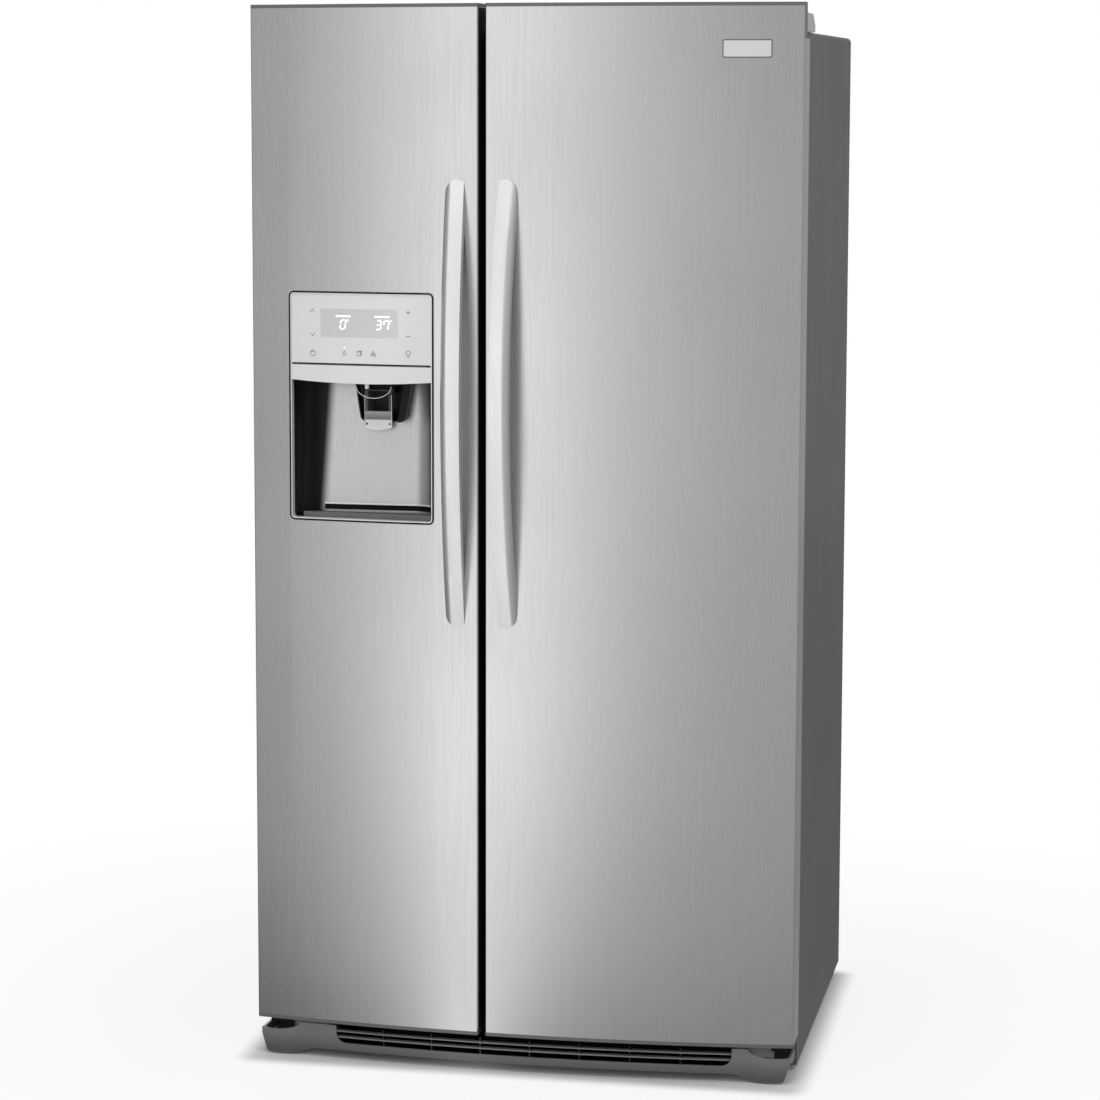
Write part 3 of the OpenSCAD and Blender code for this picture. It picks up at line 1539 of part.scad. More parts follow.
module freezer_door_caps() { color("#9a9da1") door_caps(-half_w, gap_l, -1); }
module freezer_door_seal() { color("#3a3b3d") door_seal(seal_out - pin_x, gap_l - 6); }
module freezer_door_bins() {
    color("#dfe9ec", 0.7) for (z = fr_bins) {
        door_bin(fr_d0, fr_d1, z, freezer_bin_d);
    }
}
module freezer_handle() { color("#c4c7ca") mirror([1, 0, 0]) handle(-handle_lx); }

module dispenser_housing() {
    color("#a9acb0") difference() {
        intersection() {
            recess(-tub_wall);
            behind_bow(shell_in, tub_z - 10, tub_top + 10);
        }
        recess(0);
        hood_form(0, y_disp + 30, y_door);
        translate([outlet_x, outlet_y, tub_top - 1]) cylinder(r = ring_r + 0.5, h = 10, $fn = 96);
    }
}

module bow_shell(a, b, z0, z1) {
    difference() {
        behind_bow(a, z0, z1);
        behind_bow(b, z0 - 1, z1 + 1);
    }
}

// bezel around the dispenser with the visor above the recess
module dispenser_trim() {
    visor_r = (pow((tub_x1 - tub_x0) / 2, 2) + pow(visor_drop, 2)) / (2 * visor_drop);
    yf = y_corner - front_bow - 5;
    color("#c2c4c7") {
        intersection() {
            bow_shell(-1, shell_in, disp_z, disp_top);
            difference() {
                dispenser_outline(fit, yf, panel_y);
                dispenser_outline(bezel_w, yf - 1, panel_y + 1);
            }
        }
        intersection() {
            bow_shell(0.5, shell_in - 5, visor_z - 20, visor_z + visor_h);
            block([tub_x0 - eps, yf, visor_z - 20], [tub_x1 + eps, y_door, visor_z + visor_h]);
            translate([disp_xc, y_door, visor_z + visor_r]) rotate([90, 0, 0])
                cylinder(r = visor_r, h = 200, $fn = 720);
        }
    }
}

module control_panel() {
    yf = y_corner - front_bow - 5;
    color("#cfd1d4") intersection() {
        bow_shell(0.5, shell_in - 2, panel_z, panel_z + panel_h);
        dispenser_outline(bezel_w + fit, yf, y_door);
    }
}

pivot_z = tub_top - 26;
pivot_y = outlet_y + 3;
paddle_arm = 35;
paddle_h = 32;

// black hood behind the outlets, with the ice duct above it
module dispenser_hood() {
    color("#1b1c1e") {
        difference() {
            hood_form(0, y_disp + 40, hood_back);
            hood_form(2.5, y_disp + 39, hood_back - 2.5);
            recess(0);
        }
        difference() {
            duct(0, tub_top + tub_wall);
            duct(duct_t, tub_top);
            block([outlet_x - duct_half + duct_t, outlet_y, duct_top - 52 + duct_t],
                [outlet_x + duct_half - duct_t, y_door + 41, duct_top - duct_t]);
        }
        // ears that carry the paddle's pivot
        for (s = [-1, 1]) {
            x = outlet_x + s * (paddle_w / 2 + 3.3);
            difference() {
                block([x - 1.5, pivot_y - 5, pivot_z - 5], [x + 1.5, hood_back - 1, pivot_z + 5]);
                translate([x - 3, pivot_y, pivot_z]) rotate([0, 90, 0])
                    cylinder(r = 2.2, h = 6, $fn = 32);
            }
        }
    }
}

// clear ring that guides the ice, and the water nozzle beside it
module ice_ring() {
    color("#e8eef0", 0.6) {
        translate([outlet_x, outlet_y, tub_top - 14]) difference() {
            cylinder(r = ring_r, h = 14 + tub_wall, $fn = 96);
            translate([0, 0, -1]) cylinder(r = ring_r - 2, h = 20 + tub_wall, $fn = 96);
        }
        translate([outlet_x - 3, outlet_y - ring_r - 4.5, tub_top - 12])
            cylinder(r = 4, h = 12, $fn = 48);
    }
}

module dispenser_paddle() {
    w = paddle_w / 2;
    color("#d9e2e6", 0.6) {
        translate([outlet_x - w - 4.5, pivot_y, pivot_z]) rotate([0, 90, 0])
            cylinder(r = 2, h = paddle_w + 9, $fn = 32);
        for (s = [-1, 1]) {
            x = outlet_x + s * (w - 3);
            block([x - 3, pivot_y - 1.5, pivot_z - paddle_arm - 2],
                [x + 3, pivot_y + 1.5, pivot_z]);
        }
        translate([outlet_x, pivot_y + 1.5, pivot_z - paddle_arm]) rotate([90, 0, 0])
            linear_extrude(3) intersection() {
                translate([-w, -paddle_h]) square([paddle_w, paddle_h]);
                translate([0, 60 - paddle_h]) circle(r = 60, $fn = 96);
            }
    }
}

flap_z = tub_top + 46;

module ice_flap() {
    h = duct_half - duct_t - 0.6;
    color("#2a2b2d") {
        block([outlet_x - h, outlet_y - h, flap_z], [outlet_x + h, outlet_y + h - 3, flap_z + 2.5]);
        translate([outlet_x - h, outlet_y + h - 3, flap_z + 1.25]) rotate([0, 90, 0])
            cylinder(r = 2.5, h = 2 * h, $fn = 32);
    }
}

tray_gap = 0.6;

// lift-out tray with a slotted grille
module drip_tray() {
    z0 = tub_z + fit;
    y1 = recess_d - disp_h * sin(recess_lean) - 8;
    color("#8f9296") difference() {
        intersection() {
            translate([0, y_disp, z0]) linear_extrude(tray_h)
                round_rect([tub_x0 + tray_gap + 2, -60], [tub_x1 - tray_gap - 2, y1], recess_r - 6);
            behind_bow(shell_in + 3, z0 - 1, z0 + tray_h + 1);
        }
        for (k = [0:5]) {
            y = y_disp + 12 + k * 7;
            block([disp_xc - 88 + k * k, y, z0 + 2], [disp_xc + 88 - k * k, y + 3, z0 + tray_h + 1]);
        }
    }
}
outer_cabinet();
rear_panel();
cabinet_foam();
freezer_liner();
fresh_food_liner();
centre_mullion();
base_pan();
toe_grille();
compressor();
condenser_coil();
fan_shroud();
drain_pan();
machine_cover();
water_valve();
roller_brackets();
top_hinges();
hinge_covers();
bottom_hinges();
evaporator_cover();
evaporator_coil();
ice_maker();
shelf_frames();
shelf_glass();
shelf_tracks();
control_housing();
condenser_fan();
evaporator_fan();
front_rollers();
rear_rollers();
levelling_legs();
ice_bucket();
ice_auger();
freezer_basket_upper();
freezer_basket_lower();
crisper_upper();
crisper_lower();
freezer_door_skin();
freezer_door_foam();
freezer_door_liner();
freezer_door_caps();
freezer_door_seal();
freezer_door_bins();
freezer_handle();
dispenser_housing();
dispenser_trim();
control_panel();
dispenser_hood();
ice_ring();
dispenser_paddle();
drip_tray();
ice_flap();
fresh_door_skin();
fresh_door_foam();
fresh_door_liner();
fresh_door_caps();
fresh_door_seal();
fresh_door_bins();
fresh_handle();
dairy_cover();
door_switches();
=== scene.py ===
# Dressed model of a side by side refrigerator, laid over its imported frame.
import math

import bmesh
import bpy
from mathutils import Matrix, Vector
from mathutils.bvhtree import BVHTree


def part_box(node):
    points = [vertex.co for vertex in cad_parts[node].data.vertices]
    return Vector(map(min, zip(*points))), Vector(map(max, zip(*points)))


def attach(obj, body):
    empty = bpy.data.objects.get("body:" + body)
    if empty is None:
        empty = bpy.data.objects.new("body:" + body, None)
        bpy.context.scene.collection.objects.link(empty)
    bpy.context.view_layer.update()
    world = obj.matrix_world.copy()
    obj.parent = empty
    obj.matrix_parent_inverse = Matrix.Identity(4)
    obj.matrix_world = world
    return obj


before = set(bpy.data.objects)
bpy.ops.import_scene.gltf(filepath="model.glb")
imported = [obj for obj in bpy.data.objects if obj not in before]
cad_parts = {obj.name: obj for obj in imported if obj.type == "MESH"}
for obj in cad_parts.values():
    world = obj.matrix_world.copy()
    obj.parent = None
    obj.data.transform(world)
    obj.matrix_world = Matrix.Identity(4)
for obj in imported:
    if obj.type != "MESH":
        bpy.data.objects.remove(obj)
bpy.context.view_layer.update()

# ---------------------------------------------------------------- studio
# Seamless pale floor, white surround, one broad soft lamp ahead of the doors
# and weaker ones above and at the sides. The camera stands right of the doors.

scene = bpy.context.scene
scene.view_settings.view_transform = "Standard"

eye = bpy.data.objects.new("eye", bpy.data.cameras.new("eye"))
scene.collection.objects.link(eye)
eye.location = (1.059, -5.585, 1.633)
eye.rotation_euler = (math.radians(83.06), 0, math.radians(12.14))
eye.data.sensor_width = 36
eye.data.lens = 107.15
eye.data.shift_x = 0.0636
eye.data.shift_y = -0.0545
scene.camera = eye


def lamp(name, place, aim, width, height, watts):
    """Soft rectangular lamp at a place, turned towards a point."""
    data = bpy.data.lights.new(name, "AREA")
    data.shape = "RECTANGLE"
    data.size = width
    data.size_y = height
    data.energy = watts
    thing = bpy.data.objects.new(name, data)
    scene.collection.objects.link(thing)
    thing.location = place
    thing.rotation_euler = (Vector(aim) - Vector(place)).to_track_quat("-Z", "Y").to_euler()
    return thing


front = lamp("lamp_front", (-1.25, -5.2, 2.4), (0, -0.3, 1.0), 1.5, 3.4, 60)
front.visible_glossy = False
lamp("lamp_top", (0, -0.6, 4.4), (0, 0, 0.8), 3.0, 2.4, 40)
right = lamp("lamp_right", (2.3, -1.7, 3.1), (0.45, -0.2, 1.7), 1.0, 1.2, 20)
right.visible_glossy = False
lamp("lamp_back", (-2.0, 4.4, 2.2), (0, 0.2, 0.9), 2.4, 2.4, 30)


def seen_white(tree):
    """1 for rays that end at the eye directly, by reflection or through glass."""
    path = tree.nodes.new("ShaderNodeLightPath")
    last = path.outputs["Is Camera Ray"]
    for more in ("Is Glossy Ray", "Is Transmission Ray"):
        both = tree.nodes.new("ShaderNodeMath")
        both.operation = "MAXIMUM"
        tree.links.new(last, both.inputs[0])
        tree.links.new(path.outputs[more], both.inputs[1])
        last = both.outputs[0]
    return last


world = bpy.data.worlds.new("studio")
scene.world = world
world.use_nodes = True
wt = world.node_tree
wt.nodes.clear()
w_out = wt.nodes.new("ShaderNodeOutputWorld")
w_mix = wt.nodes.new("ShaderNodeMixShader")
w_white = wt.nodes.new("ShaderNodeBackground")
w_white.inputs["Color"].default_value = (1, 1, 1, 1)
w_room = wt.nodes.new("ShaderNodeBackground")
w_room.inputs["Color"].default_value = (0.62, 0.62, 0.63, 1)
wt.links.new(seen_white(wt), w_mix.inputs["Fac"])
wt.links.new(w_room.outputs[0], w_mix.inputs[1])
wt.links.new(w_white.outputs[0], w_mix.inputs[2])
wt.links.new(w_mix.outputs[0], w_out.inputs["Surface"])


def flat(name, size_x, size_y, matrix):
    """Plain rectangle of the studio, kept out of the model."""
    mesh = bmesh.new()
    bmesh.ops.create_grid(mesh, x_segments=1, y_segments=1, size=0.5,
                          matrix=matrix @ Matrix.Diagonal((size_x, size_y, 1, 1)))
    data = bpy.data.meshes.new(name)
    mesh.to_mesh(data)
    mesh.free()
    thing = bpy.data.objects.new(name, data)
    scene.collection.objects.link(thing)
    return thing


floor = flat("floor", 28, 28, Matrix.Identity(4))
floor_mat = bpy.data.materials.new("pale_floor")
floor_mat.use_nodes = True
ft = floor_mat.node_tree
f_shader = ft.nodes["Principled BSDF"]
f_shader.inputs["Base Color"].default_value = (0.62, 0.62, 0.62, 1)
f_shader.inputs["Roughness"].default_value = 0.9
f_glow = ft.nodes.new("ShaderNodeEmission")
f_mix = ft.nodes.new("ShaderNodeMixShader")
f_place = ft.nodes.new("ShaderNodeTexCoord")
# distance outside the footprint of the refrigerator
f_abs = ft.nodes.new("ShaderNodeVectorMath")
f_abs.operation = "ABSOLUTE"
f_foot = ft.nodes.new("ShaderNodeVectorMath")
f_foot.operation = "SUBTRACT"
f_foot.inputs[1].default_value = (0.45, 0.36, 0)
f_out = ft.nodes.new("ShaderNodeVectorMath")
f_out.operation = "MAXIMUM"
f_far = ft.nodes.new("ShaderNodeVectorMath")
f_far.operation = "LENGTH"
f_range = ft.nodes.new("ShaderNodeMapRange")
f_range.interpolation_type = "SMOOTHSTEP"
f_range.inputs["From Max"].default_value = 0.05
f_range.inputs["To Max"].default_value = 0.86
f_wide = ft.nodes.new("ShaderNodeMapRange")
f_wide.interpolation_type = "SMOOTHSTEP"
f_wide.inputs["From Max"].default_value = 1.4
f_wide.inputs["To Max"].default_value = 0.14
f_sum = ft.nodes.new("ShaderNodeMath")
f_part = ft.nodes.new("ShaderNodeMath")
f_part.operation = "MULTIPLY"
ft.links.new(f_place.outputs["Object"], f_abs.inputs[0])
ft.links.new(f_abs.outputs[0], f_foot.inputs[0])
ft.links.new(f_foot.outputs[0], f_out.inputs[0])
ft.links.new(f_out.outputs[0], f_far.inputs[0])
ft.links.new(f_far.outputs["Value"], f_range.inputs["Value"])
ft.links.new(f_far.outputs["Value"], f_wide.inputs["Value"])
ft.links.new(f_range.outputs["Result"], f_sum.inputs[0])
ft.links.new(f_wide.outputs["Result"], f_sum.inputs[1])
ft.links.new(seen_white(ft), f_part.inputs[0])
ft.links.new(f_sum.outputs[0], f_part.inputs[1])
ft.links.new(f_part.outputs[0], f_mix.inputs["Fac"])
ft.links.new(f_shader.outputs[0], f_mix.inputs[1])
ft.links.new(f_glow.outputs[0], f_mix.inputs[2])
ft.links.new(f_mix.outputs[0], ft.nodes["Material Output"].inputs["Surface"])
floor.data.materials.append(floor_mat)

# Round grey screen and floor cloth that only polished metal sees. They are
# brightest a little left of the lens and fall off to both sides.
SCREEN = ((-180, 0.36), (-120, 0.36), (-75, 0.24), (-45, 0.26), (-33, 0.45), (-27.5, 0.64),
          (-24, 0.80), (-20, 1.12), (-15, 1.52), (-11, 1.36), (-5, 0.90), (0, 0.68), (5, 0.56),
          (11, 0.50), (30, 0.42), (70, 0.42), (110, 0.42), (180, 0.36))
screen_peak = 1.6
cloth_share = 0.73
screen_mesh = bmesh.new()
bmesh.ops.create_cone(screen_mesh, cap_ends=False, segments=96, radius1=7, radius2=7, depth=7,
                      matrix=Matrix.Translation((0, 0, 3.3)))
screen_data = bpy.data.meshes.new("screen")
screen_mesh.to_mesh(screen_data)
screen_mesh.free()
screen = bpy.data.objects.new("screen", screen_data)
scene.collection.objects.link(screen)
cloth = flat("cloth", 16, 16, Matrix.Translation((0, 0, 0.004)))
for card, near in ((screen, False), (cloth, True)):
    card.visible_camera = False
    card.visible_diffuse = False
    card.visible_transmission = False
    card.visible_shadow = False
    grey = bpy.data.materials.new(card.name)
    grey.use_nodes = True
    gt = grey.node_tree
    gt.nodes.clear()
    c_place = gt.nodes.new("ShaderNodeTexCoord")
    c_split = gt.nodes.new("ShaderNodeSeparateXYZ")
    c_ahead = gt.nodes.new("ShaderNodeMath")
    c_ahead.operation = "MULTIPLY"
    c_ahead.inputs[1].default_value = -1
    c_turn = gt.nodes.new("ShaderNodeMath")
    c_turn.operation = "ARCTAN2"
    c_share = gt.nodes.new("ShaderNodeMath")
    c_share.operation = "MULTIPLY_ADD"
    c_share.inputs[1].default_value = 1 / (2 * math.pi)
    c_share.inputs[2].default_value = 0.5
    c_ramp = gt.nodes.new("ShaderNodeValToRGB")
    stops = c_ramp.color_ramp.elements
    for azimuth, tone in SCREEN[1:-1]:
        stops.new((azimuth + 180) / 360).color = (tone / screen_peak,) * 3 + (1,)
    for end, (azimuth, tone) in ((0, SCREEN[0]), (-1, SCREEN[-1])):
        stops[end].color = (tone / screen_peak,) * 3 + (1,)
    c_near = gt.nodes.new("ShaderNodeMapRange")
    c_near.interpolation_type = "SMOOTHSTEP"
    c_near.inputs["From Min"].default_value = 0.1
    c_near.inputs["From Max"].default_value = 3.0
    c_near.inputs["To Min"].default_value = screen_peak * (cloth_share if near else 1)
    c_near.inputs["To Max"].default_value = screen_peak
    c_glow = gt.nodes.new("ShaderNodeEmission")
    c_out = gt.nodes.new("ShaderNodeOutputMaterial")
    gt.links.new(c_place.outputs["Object"], c_split.inputs[0])
    gt.links.new(c_split.outputs["Y"], c_ahead.inputs[0])
    gt.links.new(c_split.outputs["X"], c_turn.inputs[0])
    gt.links.new(c_ahead.outputs[0], c_turn.inputs[1])
    gt.links.new(c_turn.outputs[0], c_share.inputs[0])
    gt.links.new(c_share.outputs[0], c_ramp.inputs["Fac"])
    gt.links.new(c_ahead.outputs[0], c_near.inputs["Value"])
    gt.links.new(c_ramp.outputs["Color"], c_glow.inputs["Color"])
    gt.links.new(c_near.outputs["Result"], c_glow.inputs["Strength"])
    gt.links.new(c_glow.outputs[0], c_out.inputs["Surface"])
    card.data.materials.append(grey)

# ---------------------------------------------------------------- stainless doors
# Bowed skins of brushed stainless steel, pressed from one sheet each and
# folded round the upright edges. The grain runs upright.


def effect(name, outputs, **inputs):
    """Empty node group with colour, value or vector sockets, returned with its ends."""
    group = bpy.data.node_groups.new(name, "ShaderNodeTree")
    kinds = {"v": "NodeSocketFloat", "c": "NodeSocketColor", "n": "NodeSocketVector"}
    for label, (kind, default) in inputs.items():
        socket = group.interface.new_socket(label, in_out="INPUT", socket_type=kinds[kind])
        if default is not None:
            socket.default_value = default
    for label, kind in outputs.items():
        group.interface.new_socket(label, in_out="OUTPUT", socket_type=kinds[kind])
    return group, group.nodes.new("NodeGroupInput"), group.nodes.new("NodeGroupOutput")


def node(tree, kind, links=None, **values):
    """One shader node with its settings; links maps an input to the socket that feeds it."""
    made = tree.nodes.new(kind)
    for key, value in values.items():
        if key in made.inputs:
            made.inputs[key].default_value = value
        else:
            setattr(made, key, value)
    for key, source in (links or {}).items():
        tree.links.new(source, made.inputs[key])
    return made


# grain of brushed metal: fine streaks along Z with broad, faint clouds
grain, g_in, g_out = effect(
    "grain_upright", {"Tone": "c", "Rough": "v", "Normal": "n"},
    Tone=("c", (0.6, 0.6, 0.6, 1)), Contrast=("v", 0.06), Rough=("v", 0.3), Depth=("v", 0.02))
g_place = node(grain, "ShaderNodeTexCoord")
g_map = node(grain, "ShaderNodeMapping", {"Vector": g_place.outputs["Object"]})
g_map.inputs["Scale"].default_value = (1300, 1300, 7)
g_fine = node(grain, "ShaderNodeTexNoise", {"Vector": g_map.outputs[0]}, Scale=1.0, Detail=3.0)
g_cloud = node(grain, "ShaderNodeTexNoise", {"Vector": g_place.outputs["Object"]},
               Scale=2.2, Detail=2.0)
g_both = node(grain, "ShaderNodeMath", {0: g_fine.outputs["Fac"], 1: g_cloud.outputs["Fac"]},
              operation="ADD")
g_low = node(grain, "ShaderNodeMath", {0: g_both.outputs[0]}, operation="SUBTRACT")
g_low.inputs[1].default_value = 1.0
g_amount = node(grain, "ShaderNodeMath", {0: g_low.outputs[0], 1: g_in.outputs["Contrast"]},
                operation="MULTIPLY")
g_gain = node(grain, "ShaderNodeMath", {0: g_amount.outputs[0]}, operation="ADD")
g_gain.inputs[1].default_value = 1.0
g_tone = node(grain, "ShaderNodeVectorMath", {0: g_in.outputs["Tone"], 1: g_gain.outputs[0]},
              operation="MULTIPLY")
g_rough = node(grain, "ShaderNodeMath", {0: g_low.outputs[0], 1: g_in.outputs["Rough"]},
               operation="MULTIPLY_ADD", use_clamp=True)
grain.links.new(g_in.outputs["Rough"], g_rough.inputs[2])
g_rough.inputs[1].default_value = 0.05
g_bump = node(grain, "ShaderNodeBump", {"Height": g_fine.outputs["Fac"],
              "Strength": g_in.outputs["Depth"]}, Distance=0.0004)
grain.links.new(g_tone.outputs[0], g_out.inputs["Tone"])
grain.links.new(g_rough.outputs[0], g_out.inputs["Rough"])
grain.links.new(g_bump.outputs[0], g_out.inputs["Normal"])


def finish(name, metallic=0.0, **sockets):
    """New material with a principled shader, its plain sockets set by name."""
    made = bpy.data.materials.new(name)
    made.use_nodes = True
    shader = made.node_tree.nodes["Principled BSDF"]
    shader.inputs["Metallic"].default_value = metallic
    for label, value in sockets.items():
        shader.inputs[label.replace("_", " ")].default_value = value
    return made, shader


def coat(made, shader, group, tone, **values):
    """Feeds a shader's colour, roughness and normal from a surface group."""
    surface = made.node_tree.nodes.new("ShaderNodeGroup")
    surface.node_tree = group
    surface.inputs["Tone"].default_value = (*tone, 1)
    for label, value in values.items():
        surface.inputs[label].default_value = value
    for label, socket in (("Tone", "Base Color"), ("Rough", "Roughness"), ("Normal", "Normal")):
        made.node_tree.links.new(surface.outputs[label], shader.inputs[socket])
    return made


def brushed(name, tone, rough, contrast=0.06, depth=0.02, **sockets):
    """Brushed metal in one tone."""
    return coat(*finish(name, 1.0, **sockets), grain, tone,
                Contrast=contrast, Rough=rough, Depth=depth)


def dress(part, material, angle=30):
    """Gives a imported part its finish, and shades its round faces smoothly."""
    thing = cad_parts[part]
    thing.data.materials.clear()
    thing.data.materials.append(material)
    weld = thing.modifiers.new("weld", "WELD")
    weld.merge_threshold = 0.00001
    thing.data.polygons.foreach_set("use_smooth", [True] * len(thing.data.polygons))
    split = thing.modifiers.new("crease", "EDGE_SPLIT")
    split.split_angle = math.radians(angle)


stainless = brushed("stainless_door", (0.62, 0.622, 0.625), 0.28, contrast=0.03, depth=0.004)
dress("freezer_door_skin", stainless)

# painted shade: the outer edge of the right door is darkened beside the hinge pocket
skin_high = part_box("fresh_door_skin")[1]
edge_t, pocket_h = 0.0004, 0.052
pocket_shaded_steel = stainless.copy()
pocket_shaded_steel.name = "stainless_pocket_painted_shade"
et = pocket_shaded_steel.node_tree
e_streaks = next(n for n in et.nodes if n.type == "GROUP")
e_place = node(et, "ShaderNodeTexCoord")
e_split = node(et, "ShaderNodeSeparateXYZ", {0: e_place.outputs["Object"]})
e_side = node(et, "ShaderNodeMath", {0: e_split.outputs["X"]}, operation="GREATER_THAN")
e_side.inputs[1].default_value = skin_high.x - edge_t
e_high = node(et, "ShaderNodeMath", {0: e_split.outputs["Z"]}, operation="GREATER_THAN")
e_high.inputs[1].default_value = skin_high.z - pocket_h
e_pocket_shade = node(et, "ShaderNodeMath", {0: e_side.outputs[0], 1: e_high.outputs[0]},
              operation="MULTIPLY")
e_tone = node(et, "ShaderNodeMix", {"Factor": e_pocket_shade.outputs[0]}, data_type="RGBA")
et.links.new(e_streaks.outputs["Tone"], e_tone.inputs["A"])
# dark grey of the painted shade in the hinge pocket
e_tone.inputs["B"].default_value = (0.09, 0.09, 0.092, 1)
et.links.new(e_tone.outputs["Result"], et.nodes["Principled BSDF"].inputs["Base Color"])
dress("fresh_door_skin", pocket_shaded_steel)

# ---------------------------------------------------------------- door end caps
# Grey moulded caps that close both ends of each door and hold the hinge
# bushes and the pockets for the top hinges.

# grain of moulded plastic: fine pebbles and a faint change of tone
pebble, p_in, p_out = effect(
    "moulded_grain", {"Tone": "c", "Rough": "v", "Normal": "n"},
    Tone=("c", (0.5, 0.5, 0.5, 1)), Contrast=("v", 0.05), Rough=("v", 0.4),
    Depth=("v", 0.05), Size=("v", 900.0))
p_place = node(pebble, "ShaderNodeTexCoord")
p_fine = node(pebble, "ShaderNodeTexNoise", {"Vector": p_place.outputs["Object"],
              "Scale": p_in.outputs["Size"]}, Detail=2.0)
p_cloud = node(pebble, "ShaderNodeTexNoise", {"Vector": p_place.outputs["Object"]},
               Scale=5.0, Detail=3.0)
p_low = node(pebble, "ShaderNodeMath", {0: p_cloud.outputs["Fac"]}, operation="SUBTRACT")
p_low.inputs[1].default_value = 0.5
p_amount = node(pebble, "ShaderNodeMath", {0: p_low.outputs[0], 1: p_in.outputs["Contrast"]},
                operation="MULTIPLY_ADD")
p_amount.inputs[2].default_value = 1.0
p_tone = node(pebble, "ShaderNodeVectorMath", {0: p_in.outputs["Tone"], 1: p_amount.outputs[0]},
              operation="MULTIPLY")
p_rough = node(pebble, "ShaderNodeMath", {0: p_low.outputs[0]}, operation="MULTIPLY_ADD",
               use_clamp=True)
p_rough.inputs[1].default_value = 0.15
pebble.links.new(p_in.outputs["Rough"], p_rough.inputs[2])
p_bump = node(pebble, "ShaderNodeBump", {"Height": p_fine.outputs["Fac"],
              "Strength": p_in.outputs["Depth"]}, Distance=0.0005)
pebble.links.new(p_tone.outputs[0], p_out.inputs["Tone"])
pebble.links.new(p_rough.outputs[0], p_out.inputs["Rough"])
pebble.links.new(p_bump.outputs[0], p_out.inputs["Normal"])


def moulded(name, tone, rough=0.4, contrast=0.08, depth=0.05, size=900.0, metallic=0.0, **sockets):
    """Moulded plastic or painted sheet with a fine pebbled surface."""
    return coat(*finish(name, metallic, **sockets), pebble, tone,
                Contrast=contrast, Rough=rough, Depth=depth, Size=size)


cap_grey = moulded("cap_grey", (0.12, 0.122, 0.125), 0.42)
dress("freezer_door_caps", cap_grey)
dress("fresh_door_caps", cap_grey)

# ---------------------------------------------------------------- gap strips
# Near-black strips on the free edges of both doors, painted shade that keeps the gap
# between them dark. They start just behind the front corners.


def piece(name, mesh, body, *materials):
    """Makes a finished mesh an object that rides on a body of the frame."""
    data = bpy.data.meshes.new(name)
    mesh.to_mesh(data)
    mesh.free()
    thing = bpy.data.objects.new(name, data)
    scene.collection.objects.link(thing)
    for material in materials:
        data.materials.append(material)
    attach(thing, body)
    return thing


def bar(mesh, low, high, round_by=0.0, steps=2):
    """Box between two corners with its edges rounded."""
    made = bmesh.ops.create_cube(mesh, size=1)["verts"]
    size = Vector(high) - Vector(low)
    middle = (Vector(low) + Vector(high)) / 2
    bmesh.ops.transform(mesh, verts=made,
                        matrix=Matrix.Translation(middle) @ Matrix.Diagonal((*size, 1)))
    if round_by:
        edges = list(dict.fromkeys(edge for vert in made for edge in vert.link_edges))
        bmesh.ops.bevel(mesh, geom=edges, offset=round_by, offset_type="OFFSET", affect="EDGES",
                        segments=steps, profile=0.5, material=-1, clamp_overlap=True)


strip_back, strip_end, strip_t = 0.005, 0.001, 0.0006
# near-black finish of the gap strips: painted shade of the deep gap
gap_shade_charcoal = moulded("gap_shade_charcoal", (0.020, 0.020, 0.021), 0.55, 0.08, 0.05, 700.0,
                        Specular_IOR_Level=0.15)
for name, part, body, side in (("freezer_gap_strip", "freezer_door_skin", "freezer_door", 1),
                               ("fresh_gap_strip", "fresh_door_skin", "fresh_food_door", -1)):
    low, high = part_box(part)
    edge_x = high.x if side > 0 else low.x
    strip = bmesh.new()
    bar(strip, (min(edge_x, edge_x + side * strip_t), low.y + strip_back, low.z + strip_end),
        (max(edge_x, edge_x + side * strip_t), high.y - 2 * strip_end, high.z - strip_end),
        0.0002, 1)
    piece(name, strip, body, gap_shade_charcoal)

# ---------------------------------------------------------------- handles
# Arched bars of satin metal, one beside the gap on each door. They are fixed to
# the doors at both ends.

satin = brushed("handle_satin", (0.86, 0.862, 0.865), 0.40, contrast=0.02, depth=0.006)
dress("freezer_handle", satin, 50)
dress("fresh_handle", satin, 50)

# ---------------------------------------------------------------- cabinet
# Folded steel sheet in charcoal paint with a fine leather-like texture, filled
# with rigid foam. The base pan and the rear panel are bare galvanised sheet.

charcoal = moulded("charcoal_paint", (0.078, 0.08, 0.083), 0.42, 0.15, 0.35, 420.0)
dress("outer_cabinet", charcoal)
dress("base_pan", moulded("galvanised_sheet", (0.5, 0.51, 0.52), 0.45, 0.4, 0.03, 60.0, 0.8))
dress("rear_panel", moulded("rear_sheet", (0.46, 0.47, 0.48), 0.45, 0.35, 0.03, 60.0, 0.8))
dress("cabinet_foam", moulded("rigid_foam", (0.80, 0.70, 0.42), 0.9, 0.3, 0.6, 300.0))
dress("freezer_door_foam", bpy.data.materials["rigid_foam"])
dress("fresh_door_foam", bpy.data.materials["rigid_foam"])

# ---------------------------------------------------------------- liners
# Vacuum-formed white liners of both compartments and of the doors, a painted
# steel mullion between the compartments, and dark seals set into the doors.

liner_white = moulded("liner_white", (0.84, 0.845, 0.85), 0.28, 0.03, 0.04, 500.0)
for part in ("freezer_liner", "fresh_food_liner", "freezer_door_liner", "fresh_door_liner"):
    dress(part, liner_white)
mullion_paint = moulded("mullion_paint", (0.62, 0.63, 0.64), 0.35, 0.05, 0.03, 700.0, 0.6)
dress("centre_mullion", mullion_paint)

